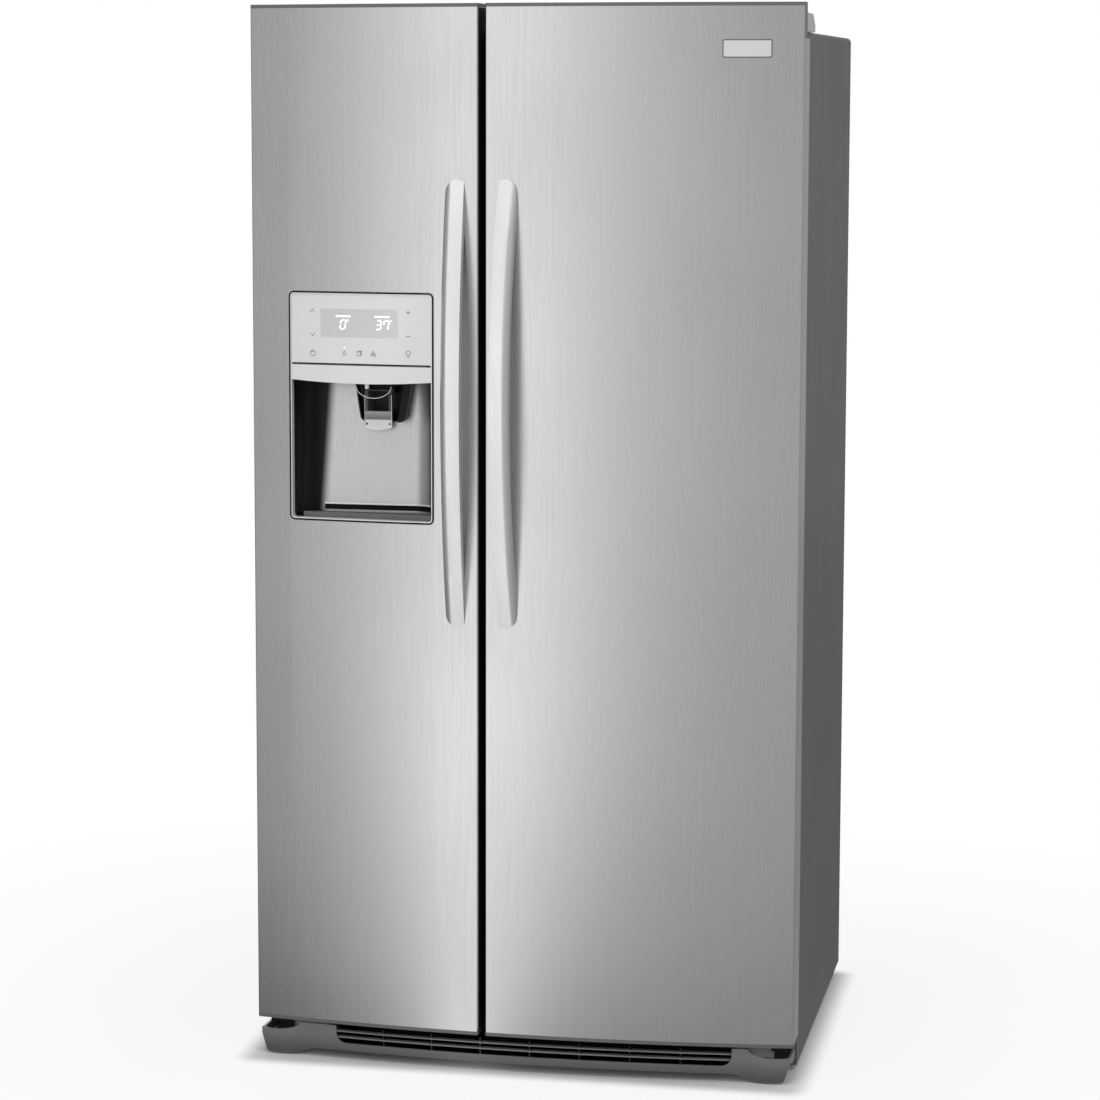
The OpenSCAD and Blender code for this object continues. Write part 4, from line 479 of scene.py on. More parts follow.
# clipped covers that carry the mullion's face on between the liner flanges
mullion_low, mullion_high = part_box("centre_mullion")
flange_low, flange_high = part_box("freezer_liner")
cover_gap, cover_t = 0.0002, 0.0028
for name, low_z, high_z in (("mullion_top_cover", mullion_high.z, flange_high.z),
                            ("mullion_foot_cover", flange_low.z, mullion_low.z)):
    cover = bmesh.new()
    bar(cover, (mullion_low.x + cover_gap / 2, mullion_low.y + cover_gap, low_z + cover_gap),
        (mullion_high.x - cover_gap / 2, mullion_low.y + cover_t, high_z - cover_gap), 0.0003, 1)
    piece(name, cover, "cabinet", mullion_paint)
seal_grey = moulded("seal_grey", (0.035, 0.036, 0.038), 0.55, 0.1, 0.1, 900.0)
dress("freezer_door_seal", seal_grey)
dress("fresh_door_seal", seal_grey)

# ---------------------------------------------------------------- dispenser
# Control panel, visor and bezel in silver paint, set over a formed recess whose side
# walls carry painted shade and a painted dark reflection. The hood and the ice flap are black
# mouldings.

silver = moulded("silver_paint", (0.77, 0.775, 0.78), 0.36, 0.03, 0.02, 1400.0, 0.3)
dress("control_panel", silver)
dress("dispenser_trim", silver)

# painted shade and dark reflection on the side walls of the recess; the edge of the
# painted dark leans out towards the foot, where the back wall comes forward
recess_low, recess_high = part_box("dispenser_housing")
recess_mat, recess_shader = finish("recess_silver", 0.85)
rt = recess_mat.node_tree
r_place = node(rt, "ShaderNodeTexCoord")
r_split = node(rt, "ShaderNodeSeparateXYZ", {0: r_place.outputs["Object"]})


def recess_shade(across, start, end, lean):
    """Grows from 0 to 1 between two distances from a side, start and end given at the top."""
    shifted = node(rt, "ShaderNodeMath", {0: r_split.outputs["Z"]}, operation="MULTIPLY_ADD")
    shifted.inputs[1].default_value = lean
    shifted.inputs[2].default_value = -lean * recess_high.z
    total = node(rt, "ShaderNodeMath", {0: r_split.outputs["X"], 1: shifted.outputs[0]},
                 operation="ADD" if across > 0 else "SUBTRACT")
    ramp = node(rt, "ShaderNodeMapRange", {"Value": total.outputs[0]},
                interpolation_type="SMOOTHSTEP")
    ramp.inputs["From Min"].default_value = start
    ramp.inputs["From Max"].default_value = end
    return ramp.outputs["Result"]


left_x, right_x = recess_low.x, recess_high.x
painted_lit_left = recess_shade(-1, left_x + 0.050, left_x + 0.070, 0.055)
dark_right = recess_shade(1, right_x - 0.031, right_x - 0.015, 0.025)
r_painted_lit = node(rt, "ShaderNodeMath", {0: painted_lit_left, 1: dark_right}, operation="SUBTRACT",
                use_clamp=True)
r_grain = rt.nodes.new("ShaderNodeGroup")
r_grain.node_tree = grain
r_grain.inputs["Tone"].default_value = (0.56, 0.56, 0.565, 1)
r_grain.inputs["Contrast"].default_value = 0.08
r_grain.inputs["Rough"].default_value = 0.36
r_wall = node(rt, "ShaderNodeMapRange", {"Value": r_split.outputs["X"]},
              interpolation_type="SMOOTHSTEP")
r_wall.inputs["From Min"].default_value = left_x
r_wall.inputs["From Max"].default_value = left_x + 0.03
# painted dark reflection on the left wall, a little lighter at its very edge
r_wall_shade = node(rt, "ShaderNodeMix", {"Factor": r_wall.outputs["Result"]}, data_type="RGBA")
r_wall_shade.inputs["A"].default_value = (0.05, 0.05, 0.052, 1)
r_wall_shade.inputs["B"].default_value = (0.010, 0.010, 0.011, 1)
r_tone = node(rt, "ShaderNodeMix", {"Factor": r_painted_lit.outputs[0]}, data_type="RGBA")
rt.links.new(r_wall_shade.outputs["Result"], r_tone.inputs["A"])
rt.links.new(r_grain.outputs["Tone"], r_tone.inputs["B"])
rt.links.new(r_tone.outputs["Result"], recess_shader.inputs["Base Color"])
rt.links.new(r_grain.outputs["Rough"], recess_shader.inputs["Roughness"])
rt.links.new(r_grain.outputs["Normal"], recess_shader.inputs["Normal"])
dress("dispenser_housing", recess_mat)

hood_black = moulded("hood_black", (0.006, 0.006, 0.007), 0.35, 0.1, 0.02,
                     Specular_IOR_Level=0.15)
dress("dispenser_hood", hood_black)
dress("ice_flap", hood_black)

# cheek that fills the recess beside the hood on the right, tapered as the hood is
hood_low, hood_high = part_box("dispenser_hood")
hood_x = (hood_low.x + hood_high.x) / 2
cheek_top_x, cheek_foot_x, cheek_w = 0.0478, 0.0345, 0.0125
cheek_front, cheek_back = -0.3128, -0.287
cheek = bmesh.new()
bmesh.ops.create_cube(cheek, size=1)
for vert in cheek.verts:
    top = vert.co.z > 0
    inner = hood_x + (cheek_top_x if top else cheek_foot_x)
    vert.co = (inner + (cheek_w if vert.co.x > 0 else 0),
               cheek_front if vert.co.y < 0 else cheek_back,
               recess_high.z - 0.004 if top else hood_low.z + 0.001)
corner = [e for e in cheek.edges
          if all(v.co.z < hood_low.z + 0.002 and v.co.x > hood_x + 0.04 for v in e.verts)]
bmesh.ops.bevel(cheek, geom=corner, offset=0.009, offset_type="OFFSET", affect="EDGES",
                segments=5, profile=0.5, material=-1, clamp_overlap=True)
piece("hood_cheek", cheek, "freezer_door", hood_black)
dress("drip_tray", moulded("tray_grey", (0.12, 0.122, 0.125), 0.35, 0.08, 0.04, 900.0))


def clear(name, tone, rough=0.08, solid=0.0):
    """Clear moulding: mostly transmitting, with a faint tint and soft scratches."""
    return coat(*finish(name, 0.0, IOR=1.46, Transmission_Weight=1.0 - solid), pebble, tone,
                Contrast=0.03, Rough=rough, Depth=0.01)


clear_part = clear("clear_part", (0.9, 0.93, 0.94))
dress("ice_ring", clear_part)

# the paddle is clear above, smoked in the middle and frosted white at its lip
paddle_low, paddle_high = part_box("dispenser_paddle")
paddle_mat, paddle_shader = finish("paddle_plastic", 0.0, Roughness=0.12, IOR=1.46)
pt = paddle_mat.node_tree
p_at = node(pt, "ShaderNodeTexCoord")
p_up = node(pt, "ShaderNodeSeparateXYZ", {0: p_at.outputs["Object"]})
p_share = node(pt, "ShaderNodeMapRange", {"Value": p_up.outputs["Z"]})
p_share.inputs["From Min"].default_value = paddle_low.z
p_share.inputs["From Max"].default_value = paddle_high.z
p_ramp = node(pt, "ShaderNodeValToRGB", {"Fac": p_share.outputs["Result"]})
bands = p_ramp.color_ramp.elements
for place, tone in ((0.24, 0.72), (0.27, 0.12), (0.44, 0.34), (0.47, 0.02)):
    bands.new(place).color = (tone, tone, tone, 1)
bands[0].color = (0.78, 0.78, 0.78, 1)
bands[-1].color = (0.03, 0.03, 0.032, 1)
pt.links.new(p_ramp.outputs["Color"], paddle_shader.inputs["Base Color"])
dress("dispenser_paddle", paddle_mat)


def rod(mesh, points, radius, sides=10):
    """Round rod swept through points by extruding one ring along them."""
    points = [Vector(p) for p in points]
    ring, count = None, len(points)
    for i, here in enumerate(points):
        along = (points[min(i + 1, count - 1)] - points[max(i - 1, 0)]).normalized()
        turn = along.to_track_quat("Z", "Y").to_matrix().to_4x4()
        matrix = Matrix.Translation(here) @ turn
        fresh = bmesh.ops.create_circle(mesh, cap_ends=False, segments=sides, radius=radius,
                                        matrix=matrix)
        edges = list(dict.fromkeys(e for v in fresh["verts"] for e in v.link_edges))
        if ring:
            bmesh.ops.bridge_loops(mesh, edges=ring + edges)
        else:
            first = edges
        ring = edges
    for edges in (first, ring):
        bmesh.ops.edgeloop_fill(mesh, edges=edges)
    bmesh.ops.recalc_face_normals(mesh, faces=mesh.faces)


def smooth(thing, angle=40):
    """Shades a new piece smoothly, but for its sharp edges."""
    thing.data.shade_smooth()
    split = thing.modifiers.new("crease", "EDGE_SPLIT")
    split.split_angle = math.radians(angle)
    return thing


# painted highlight on the lip of the ice guide, a pale hanging half loop before the hood
ring_low, ring_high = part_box("ice_ring")
ring_x = (ring_low.x + ring_high.x) / 2
ring_lip = bmesh.new()
lip_rx, lip_rz, lip_steps = 0.030, 0.020, 24
turns = [math.radians(180 + 180 * k / lip_steps) for k in range(lip_steps + 1)]
rod(ring_lip, [(ring_x - 0.001 + lip_rx * math.cos(a), ring_low.y + 0.010,
                ring_low.z - 0.003 + lip_rz * math.sin(a)) for a in turns], 0.0007)
# pale opaque finish for the bright edges of clear plastic: painted highlight
clear_highlight_edge = moulded("clear_highlight_edge", (0.72, 0.74, 0.75), 0.15, 0.02, 0.0)
smooth(piece("ring_lip", ring_lip, "freezer_door", clear_highlight_edge))

# white tip of the water nozzle
nozzle = bmesh.new()
nozzle_at = Matrix.Translation((ring_x - 0.011, ring_low.y + 0.006, ring_low.z - 0.003))
bmesh.ops.create_cone(nozzle, cap_ends=True, segments=24, radius1=0.0034, radius2=0.0044,
                      depth=0.008, matrix=nozzle_at)
nozzle_white = moulded("nozzle_white", (0.8, 0.8, 0.8), 0.3)
smooth(piece("nozzle_tip", nozzle, "freezer_door", nozzle_white))

# two dark studs near the lower corners of the paddle, and pale rails as a painted highlight on its
# clear side edges
paddle_x = (paddle_low.x + paddle_high.x) / 2
studs = bmesh.new()
for side in (-1, 1):
    stud_at = (paddle_x + side * 0.0195, paddle_low.y - 0.0001, paddle_low.z + 0.0105)
    bmesh.ops.create_uvsphere(studs, u_segments=12, v_segments=6, radius=0.0016,
                              matrix=Matrix.Translation(stud_at) @ Matrix.Diagonal((1, 0.45, 1, 1)))
smooth(piece("paddle_studs", studs, "paddle", hood_black))
rails = bmesh.new()
for side in (-1, 1):
    rail_x = paddle_x + side * 0.0229
    bar(rails, (rail_x - 0.0005, paddle_low.y - 0.0012, paddle_low.z + 0.006),
        (rail_x + 0.0005, paddle_low.y + 0.0002, paddle_high.z - 0.010), 0.0002, 1)
piece("paddle_rails", rails, "paddle", clear_highlight_edge)

# ---------------------------------------------------------------- control print
# Touch marks, a darker display window with white figures, and black gaskets
# round the bezel. The marks are printed on the silver film of the panel.


def front_of(part):
    """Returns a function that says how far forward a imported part's face lies at (x, z)."""
    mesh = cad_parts[part].data
    tree = BVHTree.FromPolygons([v.co for v in mesh.vertices], [p.vertices for p in mesh.polygons])

    def face_y(x, z):
        hit = tree.ray_cast(Vector((x, -2, z)), Vector((0, 1, 0)))
        return hit[0].y if hit[0] else None

    return face_y


def lay(mesh, face_y, corners, lift):
    """One face laid on a bowed front; corners are (x, z)."""
    made = mesh.faces.new([mesh.verts.new((x, face_y(x, z) - lift, z)) for x, z in corners])
    made.normal_update()
    if made.normal.y > 0:
        made.normal_flip()


def line(mesh, face_y, points, width, lift, closed=False):
    """Line of even width through points (x, z), mitred at its corners."""
    count = len(points)
    rows = []
    for i, here in enumerate(points):
        here = Vector(here)
        back = Vector(points[i - 1]) if closed or i else None
        ahead = Vector(points[(i + 1) % count]) if closed or i < count - 1 else None
        one = (here - back).normalized() if back else (ahead - here).normalized()
        two = (ahead - here).normalized() if ahead else one
        across = Vector((-one.y - two.y, one.x + two.x)).normalized()
        reach = width / 2 / max(0.4, across.dot(Vector((-one.y, one.x))))
        rows.append((here - across * reach, here + across * reach))
    for i in range(count if closed else count - 1):
        (a, b), (c, d) = rows[i], rows[(i + 1) % count]
        lay(mesh, face_y, (a, b, d, c), lift)


def close_steps(points, step, closed=True):
    """The same outline with its long straight runs cut into short ones."""
    out = []
    count = len(points)
    for i in range(count if closed else count - 1):
        a, b = Vector(points[i]), Vector(points[(i + 1) % count])
        cuts = max(1, math.ceil((b - a).length / step))
        out += [tuple(a.lerp(b, k / cuts)) for k in range(cuts)]
    return out if closed else out + [tuple(points[-1])]


def round_loop(x0, z0, x1, z1, r, steps=6):
    """Rounded rectangle as points (x, z)."""
    out = []
    for cx, cz, turn in ((x1 - r, z1 - r, 0), (x0 + r, z1 - r, 90),
                         (x0 + r, z0 + r, 180), (x1 - r, z0 + r, 270)):
        for k in range(steps + 1):
            a = math.radians(turn + 90 * k / steps)
            out.append((cx + r * math.cos(a), cz + r * math.sin(a)))
    return out


def patch(mesh, face_y, x0, z0, x1, z1, r, lift, columns=24):
    """Rounded plate laid on a bowed front."""
    def inset(x):
        d = min(x - x0, x1 - x)
        return 0 if d >= r else r - math.sqrt(max(0, r * r - (r - d) ** 2))
    xs = sorted({x0 + (x1 - x0) * k / columns for k in range(columns + 1)}
                | {x0 + r * t for t in (0.1, 0.3, 0.6)} | {x1 - r * t for t in (0.1, 0.3, 0.6)})
    for a, b in zip(xs, xs[1:]):
        lay(mesh, face_y, ((a, z0 + inset(a)), (b, z0 + inset(b)),
                           (b, z1 - inset(b)), (a, z1 - inset(a))), lift)


panel_low, panel_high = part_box("control_panel")
panel_x = (panel_low.x + panel_high.x) / 2
panel_top = panel_high.z
on_panel = front_of("control_panel")


def spot(x, z):
    """Place on the panel from its middle line and its top edge, in millimetres."""
    return panel_x + x / 1000, panel_top - z / 1000


def around(x, z, points):
    """Millimetre points round a spot on the panel."""
    cx, cz = spot(x, z)
    return [(cx + a / 1000, cz + b / 1000) for a, b in points]


def arc(cx, cz, r, start, stop, steps=14):
    """Arc as points in millimetres."""
    turns = [math.radians(start + (stop - start) * k / steps) for k in range(steps + 1)]
    return [(cx + r * math.cos(a), cz + r * math.sin(a)) for a in turns]


marks = bmesh.new()
sign_w, icon_w, ink = 0.0008, 0.0007, 0.0002
for x, z, points in (
        (-83.8, 28, [(-3.8, -2.6), (0, 2.6), (3.8, -2.6)]),
        (-83.7, 67, [(-3.8, 2.6), (0, -2.6), (3.8, 2.6)]),
        (82.3, 28, [(-3.8, 0), (3.8, 0)]), (82.3, 28, [(0, -3.8), (0, 3.8)]),
        (82.4, 67, [(-3.8, 0), (3.8, 0)]),
        (82.4, 96, arc(0, 1.2, 3.6, 236, -56)), (82.4, 96, [(-1.9, -3.6), (1.9, -3.6)]),
        (82.4, 96, [(-1.5, -5.2), (1.5, -5.2)]), (82.4, 96, [(-1.9, -1.8), (-1.9, -3.6)]),
        (82.4, 96, [(1.9, -1.8), (1.9, -3.6)]), (-83.7, 97, arc(0, 1.6, 2.4, 0, 180))):
    line(marks, on_panel, around(x, z, points), sign_w, ink)
lock = [(a * 1000, b * 1000) for a, b in round_loop(-0.0036, -0.0052, 0.0036, 0.0014, 0.001)]
line(marks, on_panel, around(-83.7, 97, lock), sign_w, ink, closed=True)
# drop, cube and crushed ice
drop = arc(0, -1.4, 2.6, -210, 30) + [(0, 4.2)]
line(marks, on_panel, around(-28, 97, drop), icon_w, ink, closed=True)
line(marks, on_panel, around(-3, 97, [(-3, -3.6), (3, -3.6), (3, 2.4), (-3, 2.4)]),
     icon_w, ink, closed=True)
line(marks, on_panel, around(-3, 97, [(-3, 2.4), (-1.2, 4), (4.6, 4), (4.6, -2), (3, -3.6)]),
     icon_w, ink)
line(marks, on_panel, around(-3, 97, [(3, 2.4), (4.6, 4)]), icon_w, ink)
for cx, cz in ((-2.6, -2.2), (2.6, -2.2), (0, 2)):
    crushed = [(cx, cz + 2.2), (cx + 2.2, cz), (cx, cz - 2.2), (cx - 2.2, cz)]
    line(marks, on_panel, around(22, 97, crushed), icon_w, ink, closed=True)
print_grey = moulded("print_grey", (0.055, 0.056, 0.06), 0.5, 0.02, 0.0)
piece("panel_marks", marks, "freezer_door", print_grey)

window = bmesh.new()
patch(window, on_panel, *spot(-70, 71), *spot(64, 24), 0.003, 0.0001)
window_mat = moulded("display_window", (0.64, 0.645, 0.655), 0.2, 0.01, 0.0, 900.0, 0.25)
piece("display_window", window, "freezer_door", window_mat)

figures = bmesh.new()
half, thick, slant, figure_lift = 3.5, 1.15, 0.16, 0.0003
SEGMENTS = {"top": (0, 7.4, 1), "mid": (0, 0, 1), "low": (0, -7.4, 1),
            "ul": (-4.2, 3.7, 0), "ur": (4.2, 3.7, 0), "ll": (-4.2, -3.7, 0), "lr": (4.2, -3.7, 0)}
for x, lit in ((-30.5, "top low ul ur ll lr"), (31.5, "top mid low ur lr"), (44.5, "top ul ur lr")):
    for name in lit.split():
        sx, sz, level = SEGMENTS[name]
        if level:
            shape = [(-half, 0), (-half + thick, thick), (half - thick, thick),
                     (half, 0), (half - thick, -thick), (-half + thick, -thick)]
        else:
            shape = [(0, -half), (thick, thick - half), (thick, half - thick),
                     (0, half), (-thick, half - thick), (-thick, thick - half)]
        points = [(sx + a + (sz + b) * slant, sz + b) for a, b in shape]
        lay(figures, on_panel, around(x, 49.5, points), figure_lift)
for x in (-22.3, 53.3):
    line(figures, on_panel, around(x, 42.5, arc(0, 0, 1.2, 0, 324, 9)), sign_w, figure_lift,
         closed=True)
for x in (-30, 37.5):
    rule = [(-13, -1.3), (13, -1.3), (13, 1.3), (-13, 1.3)]
    lay(figures, on_panel, around(x, 36, rule), figure_lift)
lay(figures, on_panel, around(-28, 88, arc(0, 0, 1.3, 0, 330, 11)), figure_lift)
figure_mat, figure_shader = finish("lit_figures", 0.0, Base_Color=(0.9, 0.92, 0.95, 1),
                                   Roughness=0.4)
figure_shader.inputs["Emission Color"].default_value = (0.9, 0.95, 1, 1)
figure_shader.inputs["Emission Strength"].default_value = 0.7
piece("display_figures", figures, "freezer_door", figure_mat)

bezel_low, bezel_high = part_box("dispenser_trim")
on_bezel = front_of("dispenser_trim")
gasket = bmesh.new()
rim = 0.0017
outline = round_loop(bezel_low.x + rim, bezel_low.z + rim,
                     bezel_high.x - rim, bezel_high.z - rim, 0.0075)
line(gasket, on_bezel, close_steps(outline, 0.012), 0.0028, 0.00025, closed=True)
split_z = panel_low.z + 0.0013
split = close_steps([(panel_low.x + 0.001, split_z), (panel_high.x - 0.001, split_z)], 0.01, False)
line(gasket, on_panel, split, 0.0022, 0.0003)
gasket_black = moulded("gasket_black", (0.004, 0.004, 0.005), 0.55, 0.05, 0.02,
                       Specular_IOR_Level=0.12)
piece("bezel_gasket", gasket, "freezer_door", gasket_black)

# black strip along the foot of the back wall behind the tray, with a pale strip above as a painted
# highlight on the curve of the recess floor
on_recess = front_of("dispenser_housing")
tray_low, tray_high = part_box("drip_tray")
seat_x0, seat_x1 = tray_low.x + 0.030, tray_high.x - 0.010
for name, bottom, height, out, material in (("tray_back_black", 0.0015, 0.0085, 0.0022, gasket_black),
                                            # the pale strip is a painted highlight
                                            ("tray_painted_highlight", 0.0102, 0.0030, 0.0026, silver)):
    strip = bmesh.new()
    bmesh.ops.create_grid(strip, x_segments=40, y_segments=1, size=0.5)
    for vert in strip.verts:
        x = seat_x0 + (seat_x1 - seat_x0) * (vert.co.x + 0.5)
        z = tray_high.z + bottom + height * (vert.co.y + 0.5)
        vert.co = (x, on_recess(x, z) - out, z)
    strip.normal_update()
    if strip.faces[:][0].normal.y > 0:
        bmesh.ops.reverse_faces(strip, faces=strip.faces)
    piece(name, strip, "freezer_door", material)

# ---------------------------------------------------------------- blank plate
# Small bare metal plate riveted near the top of the fresh food door, with a
# dark rim. It carries no words.

on_skin = front_of("fresh_door_skin")
plate_x0, plate_x1 = skin_high.x - 0.130, skin_high.x - 0.052
plate_z0, plate_z1 = skin_high.z - 0.0820, skin_high.z - 0.0535
back_plate = bmesh.new()
patch(back_plate, on_skin, plate_x0, plate_z0, plate_x1, plate_z1, 0.003, 0.0006)
plate_edge = close_steps(round_loop(plate_x0, plate_z0, plate_x1, plate_z1, 0.003), 0.01)
line(back_plate, on_skin, plate_edge, 0.0008, 0.0005, closed=True)
rim_grey = moulded("plate_rim_grey", (0.09, 0.09, 0.095), 0.4, 0.05, 0.02)
piece("plate_rim", back_plate, "fresh_food_door", rim_grey)
face_plate = bmesh.new()
rim_w = 0.0013
patch(face_plate, on_skin, plate_x0 + rim_w, plate_z0 + rim_w, plate_x1 - rim_w, plate_z1 - rim_w,
      0.002, 0.0010)
plate_silver = moulded("plate_silver", (0.72, 0.725, 0.73), 0.3, 0.04, 0.02, 1400.0, 0.4)
piece("plate_face", face_plate, "fresh_food_door", plate_silver)

# ---------------------------------------------------------------- toe grille
# Grey moulding with foot covers, two bars and a row of ribs, held under the
# doors. The hinges stand behind it, with a black wall and shelf as painted shade.

grille_low, grille_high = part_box("toe_grille")
open_x0, open_x1, open_z = grille_low.x + 0.134, grille_high.x - 0.096, 0.027
rib_count, bar_z = 7, (0.037, 0.047)

# painted shade: the ribs are painted black behind the bars; painted highlight: the bars'
# front edges are painted lighter; and the grey grows lighter towards the top as painted light from
# above
grille_grey = moulded("grille_grey", (0.115, 0.117, 0.12), 0.30, 0.08, 0.06, 700.0)
tt = grille_grey.node_tree
t_surface = next(n for n in tt.nodes if n.type == "GROUP")
t_place = node(tt, "ShaderNodeTexCoord")
t_split = node(tt, "ShaderNodeSeparateXYZ", {0: t_place.outputs["Object"]})


def within(axis, middle, half):
    """1 where one coordinate lies within half of a middle value."""
    made = node(tt, "ShaderNodeMath", {0: t_split.outputs[axis]}, operation="COMPARE")
    made.inputs[1].default_value = middle
    made.inputs[2].default_value = half
    return made.outputs[0]


def joined(how, *masks):
    """Masks multiplied or their maximum taken."""
    last = masks[0]
    for mask in masks[1:]:
        last = node(tt, "ShaderNodeMath", {0: last, 1: mask}, operation=how).outputs[0]
    return last


rib_step = (open_x1 - open_x0) / (rib_count + 1)
rib_mask = joined("MAXIMUM", *(within("X", open_x0 + rib_step * (k + 1), 0.0014)
                               for k in range(rib_count)))
rib_mask = joined("MULTIPLY", rib_mask, within("Z", open_z + 0.015, 0.0145))
bar_mask = joined("MAXIMUM", *(within("Z", z, 0.0013) for z in bar_z))
open_mid, open_half = (open_x0 + open_x1) / 2, (open_x1 - open_x0) / 2
bar_mask = joined("MULTIPLY", bar_mask, within("X", open_mid, open_half - 0.006))
# painted light from above: the grey is darker at the foot and lighter towards the top
t_light_from_above = node(tt, "ShaderNodeMapRange", {"Value": t_split.outputs["Z"]},
               interpolation_type="SMOOTHSTEP")
t_light_from_above.inputs["From Min"].default_value = grille_low.z
t_light_from_above.inputs["From Max"].default_value = grille_low.z + 0.046
t_light_from_above.inputs["To Min"].default_value = 0.70
t_light_from_above.inputs["To Max"].default_value = 1.55
t_body = node(tt, "ShaderNodeVectorMath", {0: t_surface.outputs["Tone"],
              1: t_light_from_above.outputs["Result"]}, operation="MULTIPLY")
# painted shade on the ribs
t_dark = node(tt, "ShaderNodeMix", {"Factor": rib_mask}, data_type="RGBA")
tt.links.new(t_body.outputs[0], t_dark.inputs["A"])
t_dark.inputs["B"].default_value = (0.008, 0.008, 0.008, 1)
# painted highlight on the bars' front edges
t_bars = node(tt, "ShaderNodeMix", {"Factor": bar_mask}, data_type="RGBA")
tt.links.new(t_dark.outputs["Result"], t_bars.inputs["A"])
t_bars.inputs["B"].default_value = (0.20, 0.20, 0.205, 1)
tt.links.new(t_bars.outputs["Result"], tt.nodes["Principled BSDF"].inputs["Base Color"])
dress("toe_grille", grille_grey)

# black slatted wall behind the opening and a black shelf out to the grille: dark
# sheets as painted shade under the cabinet, hiding the lit floor there
under_shade_black = moulded("under_shade_black", (0.006, 0.006, 0.007), 0.6, 0.05, 0.03, Specular_IOR_Level=0.1)
cabinet_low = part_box("outer_cabinet")[0]
on_grille = front_of("toe_grille")
baffle_y, baffle_half, baffle_z = cabinet_low.y - 0.012, 0.352, (0.008, 0.056)
slat_count, slat_step, slat_z = 23, 0.03, (0.012, 0.052)
baffle = bmesh.new()
bar(baffle, (-baffle_half, baffle_y, baffle_z[0]), (baffle_half, baffle_y + 0.0015, baffle_z[1]))
for k in range(slat_count):
    slat_x = slat_step * (k - (slat_count - 1) / 2)
    bar(baffle, (slat_x - 0.003, baffle_y - 0.004, slat_z[0]),
        (slat_x + 0.003, baffle_y + 0.0005, slat_z[1]), 0.001, 1)
piece("shade_baffle", baffle, "cabinet", under_shade_black)
shelf = bmesh.new()
shelf_z, shelf_over, sight_z = 0.022, 0.012, 0.020
bmesh.ops.create_grid(shelf, x_segments=40, y_segments=1, size=0.5)
for vert in shelf.verts:
    x = open_x0 - shelf_over + (open_x1 - open_x0 + 2 * shelf_over) * (vert.co.x + 0.5)
    y = baffle_y if vert.co.y > 0 else on_grille(x, sight_z) + 0.0045
    vert.co = (x, y, shelf_z)
bmesh.ops.recalc_face_normals(shelf, faces=shelf.faces)
shelf.normal_update()
if shelf.faces[:][0].normal.z < 0:
    bmesh.ops.reverse_faces(shelf, faces=shelf.faces)
piece("shade_shelf", shelf, "cabinet", under_shade_black)
hinge_zinc = moulded("hinge_zinc", (0.62, 0.62, 0.63), 0.3, 0.2, 0.03, 500.0, 0.9)
dress("top_hinges", hinge_zinc)
dress("bottom_hinges", moulded("hinge_black", (0.012, 0.012, 0.013), 0.45, 0.1, 0.03, 500.0,
                               Specular_IOR_Level=0.3))

# turned-down bright tongues at the outer ends of the bottom hinges
hinge_low, hinge_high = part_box("bottom_hinges")
tongue_foot, tongue_top, tongue_w = 0.0585, 0.0620, 0.017
tongue_bright = moulded("tongue_bright", (0.86, 0.86, 0.87), 0.3, 0.05, 0.02, 900.0, 0.2)
for name, side in (("left_hinge_tongue", -1), ("right_hinge_tongue", 1)):
    tongue = bmesh.new()
    outer = side * (hinge_high.x - 0.003)
    inner = outer - side * tongue_w
    bar(tongue, (min(outer, inner), hinge_low.y - 0.0015, tongue_foot),
        (max(outer, inner), hinge_low.y + 0.004, tongue_top), 0.0006, 2)
    piece(name, tongue, "cabinet", tongue_bright)
dress("hinge_covers", moulded("hinge_cover_grey", (0.42, 0.425, 0.43), 0.4, 0.05, 0.05, 900.0))

# ---------------------------------------------------------------- machine compartment
# Compressor, coil, fan and pan on the base pan, behind the slotted rear cover.
# Machines are enamelled black; the cover, fans and pan are mouldings.

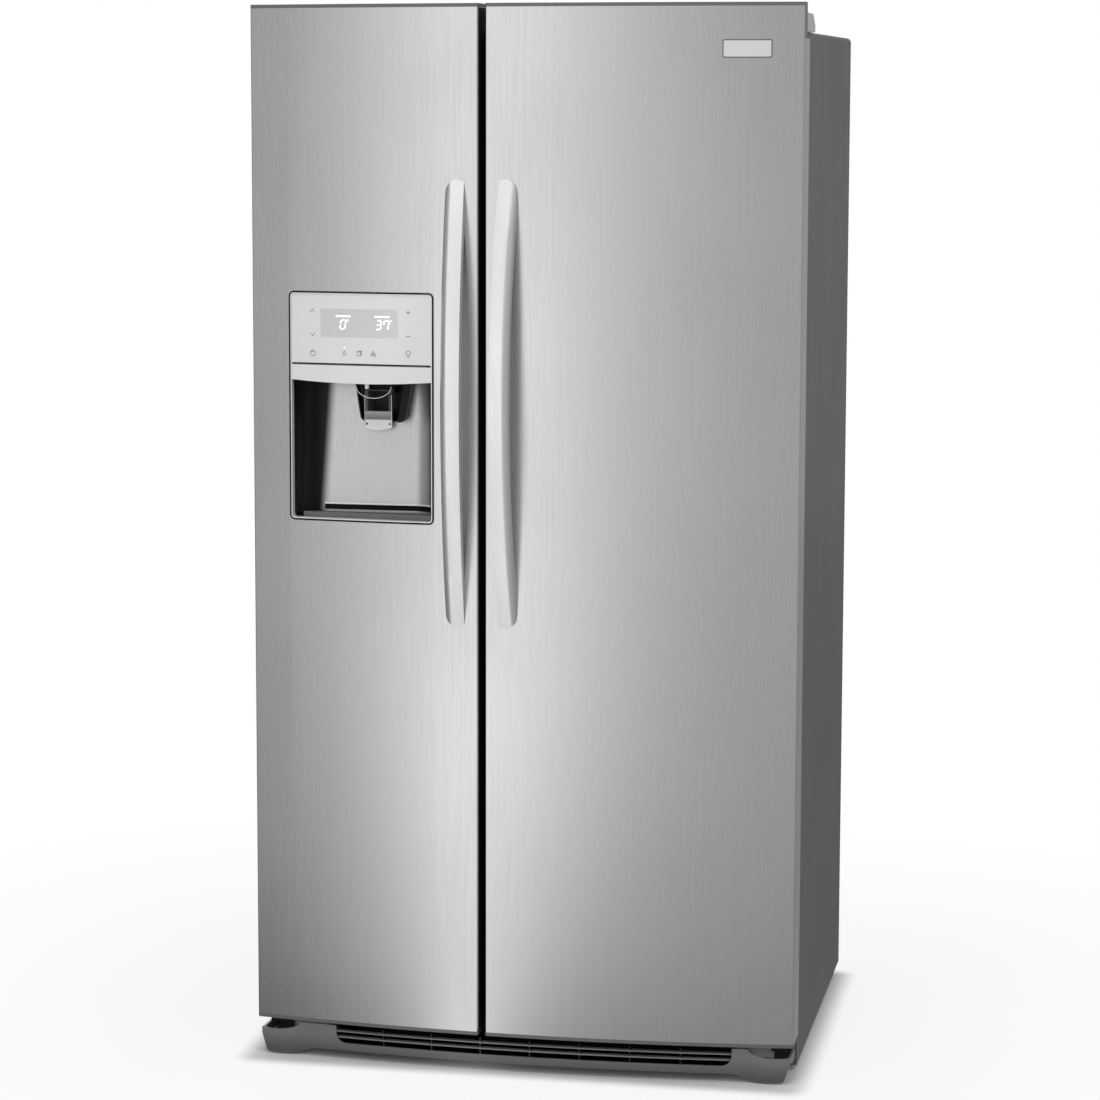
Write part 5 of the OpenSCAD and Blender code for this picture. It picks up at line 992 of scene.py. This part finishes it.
black_paint = moulded("black_enamel", (0.018, 0.018, 0.019), 0.3, 0.1, 0.03, 500.0)
dress("compressor", black_paint)
dress("condenser_coil", black_paint)
dress("drain_pan", moulded("pan_black", (0.03, 0.03, 0.032), 0.5))
dress("machine_cover", moulded("cover_black", (0.045, 0.046, 0.048), 0.5, 0.1, 0.15, 500.0))
dress("fan_shroud", moulded("shroud_white", (0.62, 0.62, 0.6), 0.45))
dress("water_valve", moulded("valve_blue", (0.05, 0.12, 0.24), 0.4))
dress("roller_brackets", bpy.data.materials["galvanised_sheet"])
dress("levelling_legs", hinge_zinc)
roller_black = moulded("roller_black", (0.02, 0.02, 0.021), 0.5)
dress("front_rollers", roller_black)
dress("rear_rollers", roller_black)
fan_white = moulded("fan_white", (0.7, 0.7, 0.68), 0.4)
dress("condenser_fan", fan_white)
dress("evaporator_fan", fan_white)

# ---------------------------------------------------------------- compartments
# Coated wire racks, glass shelves in white frames, an ice maker with its bucket
# and auger. Drawers, bins and lid are clear mouldings.

shelf_white = moulded("shelf_white", (0.78, 0.785, 0.79), 0.35, 0.04, 0.04, 700.0)
for part in ("shelf_frames", "shelf_tracks", "control_housing", "evaporator_cover",
             "door_switches"):
    dress(part, shelf_white)
dress("shelf_glass", clear("shelf_glass_clear", (0.86, 0.93, 0.92), 0.03))
dress("evaporator_coil", moulded("coil_aluminium", (0.7, 0.71, 0.72), 0.35, 0.1, 0.03, 300.0, 1.0))
dress("ice_maker", moulded("mould_aluminium", (0.6, 0.61, 0.62), 0.4, 0.1, 0.05, 300.0, 0.9))
dress("ice_auger", bpy.data.materials["coil_aluminium"])
basket_white = moulded("basket_white", (0.8, 0.8, 0.8), 0.35)
dress("freezer_basket_upper", basket_white)
dress("freezer_basket_lower", basket_white)

# frosted lens in the foot of the control housing
housing_low, housing_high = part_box("control_housing")
lens = bmesh.new()
lens_x = (housing_low.x + housing_high.x) / 2
bar(lens, (lens_x - 0.080, housing_low.y + 0.070, housing_low.z - 0.0015),
    (lens_x + 0.080, housing_low.y + 0.190, housing_low.z + 0.0005), 0.0008, 2)
piece("lamp_lens", lens, "cabinet", clear("lens_frosted", (0.95, 0.95, 0.93), 0.35, 0.4))

# satin grip strips along the top front edges of the drawers
for part, body in (("crisper_upper", "upper_crisper"), ("crisper_lower", "lower_crisper")):
    low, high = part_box(part)
    grip = bmesh.new()
    bar(grip, (low.x + 0.030, low.y - 0.0035, high.z - 0.030),
        (high.x - 0.030, low.y + 0.0005, high.z - 0.012), 0.0012, 2)
    piece(part + "_grip", grip, body, satin)
tub_clear = clear("tub_clear", (0.88, 0.92, 0.94), 0.1, 0.25)
for part in ("crisper_upper", "crisper_lower", "ice_bucket", "freezer_door_bins",
             "fresh_door_bins", "dairy_cover"):
    dress(part, tub_clear)
